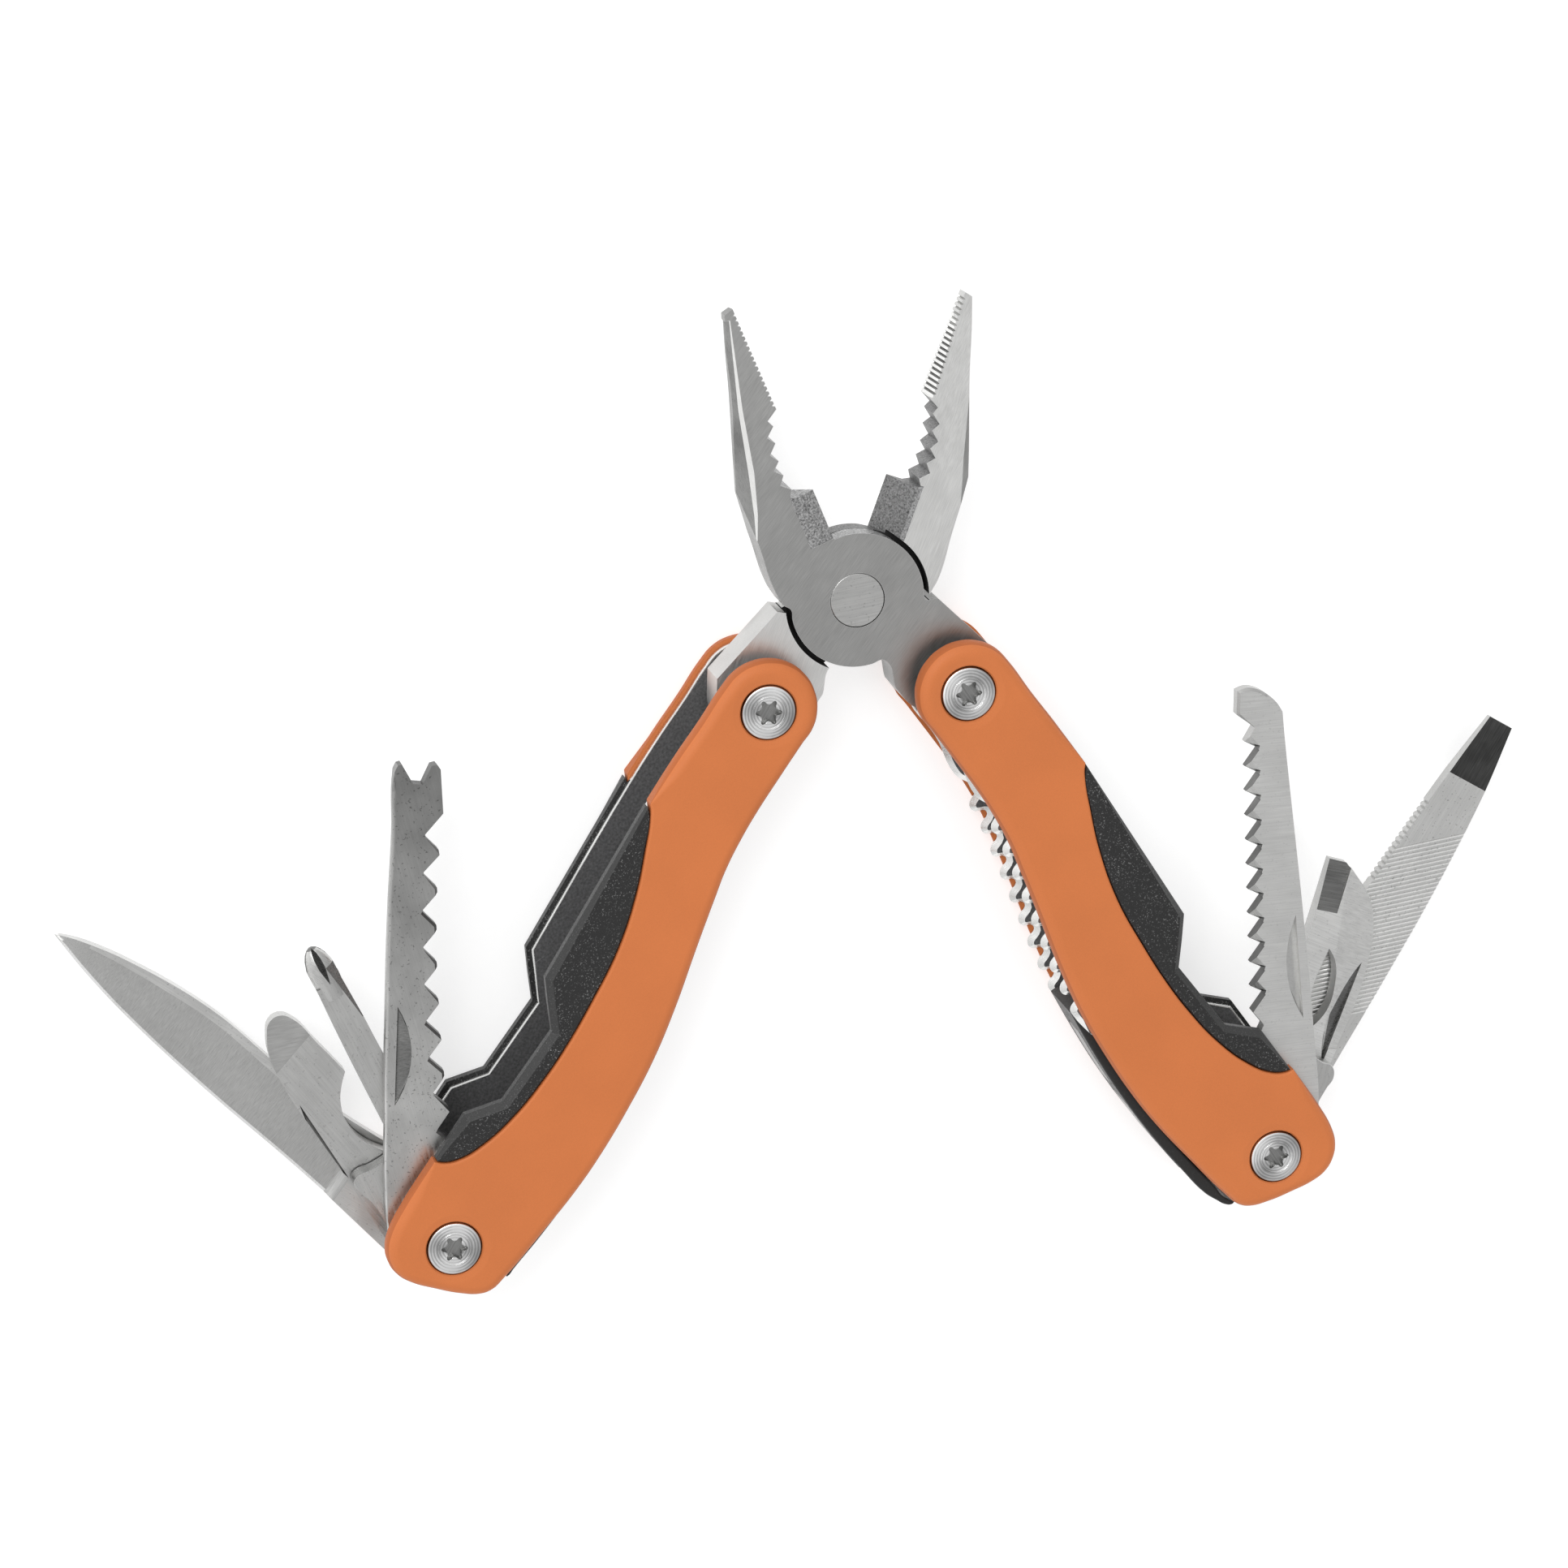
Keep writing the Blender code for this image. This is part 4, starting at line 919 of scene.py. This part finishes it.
def build_liner(hand, side, word):
    """The faces are black; the rims are ground bare, widest along the scallops."""
    name = f"{hand}_{word}_liner"
    z = heights(name)
    work = plate([liner_outline(hand)] + [circle(u, 0, POST_HOLE) for u in (0, PITCH)], z, side, 6)

    def ground(u, v):
        return 4 < u < SCALLOPS_END and side * v < -5
    soften(work, z[1], 0.8, 1, ground)
    soften(work, z[1], 0.32, 2, lambda u, v: not ground(u, v) and u < 96 and math.hypot(u, v) > 4
           and math.hypot(u - PITCH, v) > 4)
    liner = solid(name + "_plate", work)
    finish(liner, HANDLE_PLACE[hand], hand + "_handle", [name],
           ["oxide", "cut"], choose=lambda centre, normal: abs(normal.z) < 0.97)


def build_spine(hand, side):
    name = hand + "_spine"
    z = heights(name)
    work = plate([spine_outline(hand)], z, side, 6)
    for level in z:
        soften(work, level, 0.35, 3)
    spine = solid(name + "_strip", work)
    cutters = []
    for start, stop, half in SPINE_WINDOWS:
        corners = [(u, side * v, w) for u in (start, stop) for v in (-20, -8) for w in (-half, half)]
        cutters.append(hull(corners))
    carve(spine, *cutters)
    finish(spine, HANDLE_PLACE[hand], hand + "_handle", [name], ["spine"], edge=0.12)


def build_spring_tabs(hand, side):
    """The parts of the comb spring that fill the spine's windows."""
    tabs = []
    for start, stop, half in SPINE_WINDOWS:
        a, b = start + 0.3, stop - 0.3
        middle = (a + b) / 2
        line = [(u, edge_at(SPINE_LINE, u) - 0.12 + SPINE_LIFT[hand]) for u in (a, middle, b)]
        loop = [p + (SHARP,) for p in line] + [(u, v + 1.5, SHARP) for u, v in line[::-1]]
        tabs.append(plate([loop], (-half + 0.25, half - 0.25), side, 4))
    piece = solid(hand + "_spring_tabs", merged(tabs))
    # the tabs get the dark steel as painted shade in the windows
    piece.data.materials.append(FINISH["ground"])
    place_piece(piece, HANDLE_PLACE[hand], hand + "_handle", 0.15, 35)


def build_pin(hand, word, u):
    """The Torx screw at the front and the barrel's plain head at the back."""
    place = HANDLE_PLACE[hand] @ Matrix.Translation((u * MM, 0, 0))
    screw = solid(f"{hand}_{word}_torx_screw", turned(SCREW))
    points = [(r, math.radians(60 * i + a)) for i in range(6) for r, a in STAR]
    star = [(r * math.cos(a), r * math.sin(a)) for r, a in points]
    carve(screw, plate([star], (HEAD_TOP - STAR_DEPTH, HEAD_TOP + 1), 1, 3))
    # the star recess gets the darker steel as painted shade
    finish(screw, place, hand + "_handle", [f"{hand}_{word}_screw"], ["turned", "star"],
           edge=0.1, angle=30, choose=lambda c, n: c.xy.length < 2.0 and HEAD_FOOT < c.z < HEAD_TOP - 0.1)
    barrel = solid(f"{hand}_{word}_barrel_nut", turned(BARREL))
    finish(barrel, place, hand + "_handle", [f"{hand}_{word}_barrel"], ["turned"])


def build_handles():
    for hand, side in HANDS.items():
        for word, face in (("front", 1), ("back", -1)):
            build_scale(hand, side, word, face)
            build_insert(hand, side, word, face)
            build_liner(hand, side, word)
        build_spine(hand, side)
        build_spring_tabs(hand, side)
        build_pin(hand, "head", 0)
        build_pin(hand, "tail", PITCH)


# --- tools
def tool_place(hand, opened):
    return placed(TAIL_PINS[hand], HANDLE_HEADING[hand] + math.pi - HANDS[hand] * math.radians(opened))


def pivot_hole():
    return circle(0, 0, POST_HOLE)


def smooth_line(points, stations):
    """A smooth line through points, as y at each station of x."""
    xs, ys = np.array(points).T
    slopes = np.gradient(ys, xs)
    found = []
    for x in stations:
        i = int(np.clip(np.searchsorted(xs, x) - 1, 0, len(xs) - 2))
        width = xs[i + 1] - xs[i]
        t = (x - xs[i]) / width
        found.append((2 * t ** 3 - 3 * t ** 2 + 1) * ys[i] + (t ** 3 - 2 * t ** 2 + t) * width * slopes[i]
                     + (3 * t ** 2 - 2 * t ** 3) * ys[i + 1] + (t ** 3 - t ** 2) * width * slopes[i + 1])
    return np.array(found)


def knife_blade(side, z):
    """The ground blade, lofted along its length: honed edge, hollow face, flat spine."""
    stations = np.concatenate([np.linspace(*stretch) for stretch in KNIFE_STATIONS])
    spine, edge = smooth_line(KNIFE_SPINE, stations), smooth_line(KNIFE_EDGE, stations)
    middle, half = (z[0] + z[1]) / 2, (z[1] - z[0]) / 2
    work, rings = bmesh.new(), []
    for x, top, low in zip(stations, spine, edge):
        width = max(top - low, 0.05)
        ground = min(1.0, max(0.0, (x - KNIFE_GRIND[0]) / KNIFE_GRIND[1])) ** 2
        thick = half * min(1.0, 0.45 + width / 6)
        honed, flat = min(0.45, 0.25 * width), max(0.84 * width, width - 1.35)
        profile = [(0.0, 0.04), (honed, 0.3 * min(1, width / 3)), (0.5 * (honed + flat), 0.62 * thick),
                   (flat, thick), (width, thick)]
        levels = [(low + d, thick + (h - thick) * ground if d < flat else thick) for d, h in profile]
        ring = [(y, middle + h) for y, h in levels] + [(y, middle - h) for y, h in levels[::-1]]
        rings.append([work.verts.new((x, side * y, h)) for y, h in ring])
    return skinned(work, rings)


def build_knife(side, z, place):
    knife = solid("knife", plate([KNIFE_TANG, pivot_hole()], z, side, 6))
    carve(knife, knife_blade(side, z), operation="UNION")
    line = np.linspace(KNIFE_EDGE[0][0], KNIFE_EDGE[-1][0], 60)
    low = smooth_line(KNIFE_EDGE, line)

    def choose(centre, normal):
        from_edge = side * centre.y - float(np.interp(centre.x, line, low))
        if centre.x > 17.5 and from_edge < 0.5 or 7 < centre.x < 15.7 and abs(normal.z) > 0.9:
            return 1
        on_face = min(abs(centre.z - level) for level in z) < SAME
        return 2 if abs(normal.z) < 0.5 or on_face else 0
    finish(knife, place, "knife_blade", ["knife_blade"],
           ["knife", "knife_edge", "knife_spine"], choose=choose, angle=14)


def build_scaler(side, z, place):
    work = plate([scaler_outline(), pivot_hole()], z, side, 6)
    for level in z:
        soften(work, level, 0.5, 3, lambda x, y: side * y < -1.9 and x > 6)
    first, pitch, count = (SCALER_TEETH[key] for key in ("first", "pitch", "count"))
    soften(work, z[1], 0.4, 1, lambda x, y: side * y > -0.9 and (first - x) / pitch % 1 > 0.5
           and first - (count - 1) * pitch < x < first + pitch)      # the upper flank of every tooth
    scaler = solid("scaler", work)
    carve(scaler, nick("scaler", z[1], side))

    def choose(centre, normal):
        # painted shade: the nick's floor gets the dark ground steel and the teeth's walls the near-black
        # wall
        above = side * centre.y - float(np.interp(centre.x, (22.6, 38.0), (-6.4, -4.6)))
        if 22.4 < centre.x < 38.2 and -0.05 < above < 2.6 and centre.z < z[1] - 0.02 and normal.z > 0.2:
            return 1
        return 2 if abs(normal.z) < 0.9 and side * centre.y > -1.2 and centre.x > 12 else 0
    finish(scaler, place, "fish_scaler", ["fish_scaler"],
           ["scaler", "ground", "wall"],
           edge=0.12, angle=30, choose=choose)


def build_can_opener(side, z, place):
    opener = solid("can_opener_blade", plate([CAN_OPENER, pivot_hole()], z, side, 6))
    carve(opener, nick("can", z[1], side),
          slope(((37.9, side * 6.0, z[1]), (35.6, side * -6, z[1])), (1, 0, 0), 16, 1.6))

    def choose(centre, normal):
        # painted shade: the nick's floor gets the dark ground steel
        within = z[0] + 0.1 < centre.z < z[1] - 0.02
        if 14 < centre.x < 31 and side * centre.y < -3.4 and within and normal.z > 0.1:
            return 1
        return 2 if centre.x > 30 and 0.5 < normal.z < 0.9999 else 0
    finish(opener, place, "can_opener", ["can_opener"],
           ["tool", "ground", "tool_dark"], edge=0.12, angle=25, choose=choose)


def build_phillips(side, z, place):
    """A flat shank that ends in a round, fluted tip."""
    driver = solid("phillips_bit", plate([PHILLIPS, pivot_hole()], z, side, 6))
    middle = (z[0] + z[1]) / 2
    axis_y = side * 1.45
    tip = turned([(r, x) for x, r in PHILLIPS_TIP[::-1]] + [(0, PHILLIPS_TIP[0][0])], 48)
    widen = Matrix.Translation((0, axis_y, middle)) @ Matrix.Diagonal((1, PHILLIPS_TIP_WIDEN, 0.94, 1))
    carve(driver, turn(tip, widen @ Matrix.Rotation(math.radians(90), 4, "Y")), operation="UNION")
    cutters = [slope(((47.0, side * 2.1, z[1]), (37.5, side * 3.65, z[1])), (0.15, side, 0), 2.4, 2.6)]
    for i in range(4):
        groove = hull([(43.6, 0, 2.05), (51.5, 0, 0.1), (43.6, -2.4, 6.2), (43.6, 2.4, 6.2),
                       (51.5, -2.9, 4.4), (51.5, 2.9, 4.4)])
        cutters.append(turn(groove, widen @ Matrix.Rotation(math.radians(90 * i + 4), 4, "X")))
    carve(driver, *cutters)

    def choose(centre, normal):
        # painted shade: the flutes' sides and the shank's walls get the dark ground steel
        radial = Vector((centre.y - axis_y, centre.z - middle))
        if centre.x > 43.4 and radial.length > 0.05:
            if radial.normalized().dot(Vector((normal.y, normal.z))) < 0.72:
                return 1
            return 2 if centre.x > 45.8 else 0
        return 1 if abs(normal.z) < 0.85 and (centre.x < 22 or side * centre.y > 1.5) else 0
    finish(driver, place, "phillips_driver", ["phillips_driver"],
           ["tool", "ground", "saw_facet"], edge=0.12, angle=25, choose=choose)


def build_saw(side, z, place):
    """Each tooth's lower flank is ground: a light facet down to the tip, and a steeper one below it, which
    is painted dark as painted shade.
    """
    tips, _ = saw_points()
    work = plate([saw_outline(), pivot_hole()], z, side, 6)
    soften(work, z[1], 0.4, 1, lambda x, y: x > 68.8 and side * y > 0.5)
    saw = solid("saw_blade", work)
    top, middle, low = z[1] + SAME, (z[0] + z[1]) / 2, z[0] - SAME
    above = z[1] + SAME + 1
    rise, depth, step = SAW_TEETH["rise"], SAW_TEETH["depth"], SAW_TEETH["pitch"]

    def column(*corners):
        """A cutter that reaches from a corner's own level, given third, to above the saw."""
        return hull([(x, side * y, level) for x, y, foot in corners for level in (foot, above)])
    light, dark = [], []
    for x, y in tips[:-1]:
        root = (x - 0.6, y - depth - 0.2, top)
        light.append(column((x + 0.4 * rise, y - 0.4 * depth + 0.02, top), root,
                            (x - 0.25, y + 0.6, middle - 0.25)))
        dark.append(column((x + 0.05, y, middle), (root[0] + 0.02, root[1], top),
                           (x + rise - step - 0.02, y - depth + 0.02, low),
                           (x - 0.15, y + 0.1, middle - 0.2)))
    carve(saw, merged(light[::2]), merged(light[1::2]), merged(dark[::2]), merged(dark[1::2]),
          nick("saw", z[1], side))

    def choose(centre, normal):
        # painted shade: the steep lower facets get the near-black wall, the nick's faces the darker jaw_rim
        # grey
        if z[0] + 0.1 < centre.z < z[1] - 0.02 and side * centre.y > -1 and 20 < centre.x < 67:
            return 1 if normal.z > 0.55 else 2
        in_nick = 20 < centre.x < 39 and side * centre.y < -4 and 0.1 < normal.z < 0.985
        return 3 if in_nick or centre.x > 66 and abs(normal.z) < 0.95 else 0
    finish(saw, place, "wood_saw", ["wood_saw"],
           ["saw", "saw_facet", "wall", "jaw_rim"], edge=0.05, angle=20,
           choose=choose)


def build_bottle_opener(side, z, place):
    opener = solid("opener_blade", plate([OPENER, OPENER_HOLE, pivot_hole()], z, side, 6))
    tip = slope(((37.7, side * 4, z[1]), (37.7, side * -1.7, z[1])), (1, 0, 0), 10, 1.2)
    bevel = slope(((16.0, side * -6.0, z[1]), (44.5, side * -1.4, z[1])), (0.16, side * -1, 0), 9, 1.1)
    carve(opener, tip, bevel, nick("opener", z[1], side))

    def choose(centre, normal):
        # painted shade: the nick's faces and the tip's bevel get the dark ground steel
        in_nick = 13 < centre.x < 31 and side * centre.y < -6.2 and 0.1 < normal.z < 0.985
        if in_nick or centre.x > 37.7 and normal.z > 0.5 and side * centre.y > -1.7:
            return 1
        return 2 if abs(normal.z) < 0.4 else 0
    finish(opener, place, "bottle_opener", ["bottle_opener"],
           ["opener", "ground", "jaw_rim"], edge=0.1, angle=20, choose=choose)


def build_file(side, z, place):
    """Slanted cuts across both faces, a ground screwdriver tip and a serrated inner edge."""
    blade = solid("file_blade", plate([file_outline(), pivot_hole()], z, side, 6))
    half, depth, lean = FILE_CUTS["half"], FILE_CUTS["depth"], FILE_CUTS["lean"]
    cuts, tips = [], []
    for face, level in ((1, z[1]), (-1, z[0])):
        section = [(half, SAME), (-half, SAME), (0, -depth)]
        for i in range(FILE_CUTS["count"]):
            x = FILE_CUTS["first"] + i * FILE_CUTS["pitch"]
            cuts.append(hull([(x + way * lean + dx, side * way * 8, level + face * dz)
                              for way in (-1, 1) for dx, dz in section]))
        tips.append(slope([(FILE_TIP_START, side * y, level) for y in (8, -8)], (1, 0, 0), 12, face * 0.55))
    carve(blade, merged(cuts), *tips)

    def choose(centre, normal):
        if abs(normal.z) < 0.5:
            return 2
        return 1 if centre.x > FILE_TIP_START else 0
    finish(blade, place, "file_driver", ["file_driver"],
           ["file", "patch", "jaw_rim"], angle=20, choose=choose)


def build_lanyard_plate(side, z, place):
    work = plate([LANYARD, circle(*LANYARD_HOLE), pivot_hole()], z, side, 6)
    for level in z:
        soften(work, level, 0.3, 3, lambda x, y: math.hypot(x, y) > 3.5)
    finish(solid("lanyard_tab", work), place, "lanyard_plate", ["lanyard_plate"],
           ["tool"], angle=30)


TOOLS = (
    ("left", "fish_scaler", 35.0, build_scaler),
    ("left", "phillips_driver", 55.25, build_phillips),
    ("left", "can_opener", 68.25, build_can_opener),
    ("left", "knife_blade", 84.25, build_knife),
    ("right", "wood_saw", 31.25, build_saw),
    ("right", "lanyard_plate", 48.75, build_lanyard_plate),
    ("right", "bottle_opener", 48.75, build_bottle_opener),
    ("right", "file_driver", 63.75, build_file),
)


def finish_cad_nodes():
    """The pieces deep inside keep their CAD shape."""
    for name, node in frame["nodes"].items():
        kept = {"spring": "spring", "head_washer": "spring", "tool_washer": "bronze"}
        for word, key in kept.items():
            if word in name:
                node.data.materials.clear()
                node.data.materials.append(FINISH[key])


# --- stage
LAMPS = (("key", (-0.5, 0.6, 0.9), 0.5, 4.5), ("fill", (0.7, -0.5, 0.9), 0.6, 2.5))    # m, m, W
CAMERA_SPOT = (-190.6, 198.3, 700.0)        # mm from the plier pivot
CAMERA_TARGET = (-10.4, -28.4, 0)
CAMERA_LENS = 116.93


def build_stage():
    bpy.ops.mesh.primitive_plane_add(size=6, location=(0, 0, -0.0002))
    floor = bpy.context.object
    floor.name = "studio_floor"
    white, _, shader = paint("studio_white", (0.55, 0.55, 0.55), 0.8, 0.0, 0.1)
    shader.inputs["Emission Color"].default_value = (1, 1, 1, 1)
    shader.inputs["Emission Strength"].default_value = 0.6
    floor.data.materials.append(white)
    world = bpy.data.worlds.new("studio")
    bpy.context.scene.world = world
    world.use_nodes = True
    tree = world.node_tree
    tree.nodes["Background"].inputs["Color"].default_value = (1, 1, 1, 1)
    place = tree.nodes.new("ShaderNodeTexCoord")
    lean = tree.nodes.new("ShaderNodeVectorMath")       # the room is brighter to the left and behind
    lean.operation = "DOT_PRODUCT"
    lean.inputs[1].default_value = (-0.8, 0.45, 0.0)
    tree.links.new(place.outputs["Generated"], lean.inputs[0])
    level = spread(tree, lean.outputs["Value"], 0.42, 1.0, -0.75, 0.75)
    tree.links.new(level, tree.nodes["Background"].inputs["Strength"])
    for name, spot, size, power in LAMPS:
        lamp = bpy.data.lights.new(name, "AREA")
        lamp.size = size
        lamp.energy = power
        light = bpy.data.objects.new(name, lamp)
        bpy.context.scene.collection.objects.link(light)
        light.location = spot
        light.visible_glossy = name == "key"
        light.rotation_euler = (Vector((0, 0, 0)) - Vector(spot)).to_track_quat("-Z", "Y").to_euler()


def build_camera():
    """The camera looks down on the tool, a little from the left and from beyond the jaws."""
    data = bpy.data.cameras.new("camera")
    camera = bpy.data.objects.new("camera", data)
    bpy.context.scene.collection.objects.link(camera)
    spot, target = (PIVOT + Vector(p) * MM for p in (CAMERA_SPOT, CAMERA_TARGET))
    back = (spot - target).normalized()
    right = Vector((0, 1, 0)).cross(back).normalized()
    up = back.cross(right)
    camera.matrix_world = Matrix.Translation(spot) @ Matrix((right, up, back)).transposed().to_4x4()
    data.lens = CAMERA_LENS
    data.clip_start, data.clip_end = 0.01, 20.0
    bpy.context.scene.camera = camera


bpy.context.scene.view_settings.view_transform = "Standard"
build_camera()
build_stage()
build_jaw("front_jaw", 1, 1, ("jaw", "cast_light", "facet", "jaw_side", "ribs", "gap", "wall"))
build_jaw("back_jaw", -1, -1, ("jaw_light", "cast", "jaw_rim", "tang_side", "ribs", "gap", "wall"))
build_rivet()
build_handles()
for hand, tool, opened, build in TOOLS:
    build(HANDS[hand], heights(tool), tool_place(hand, opened))
finish_cad_nodes()
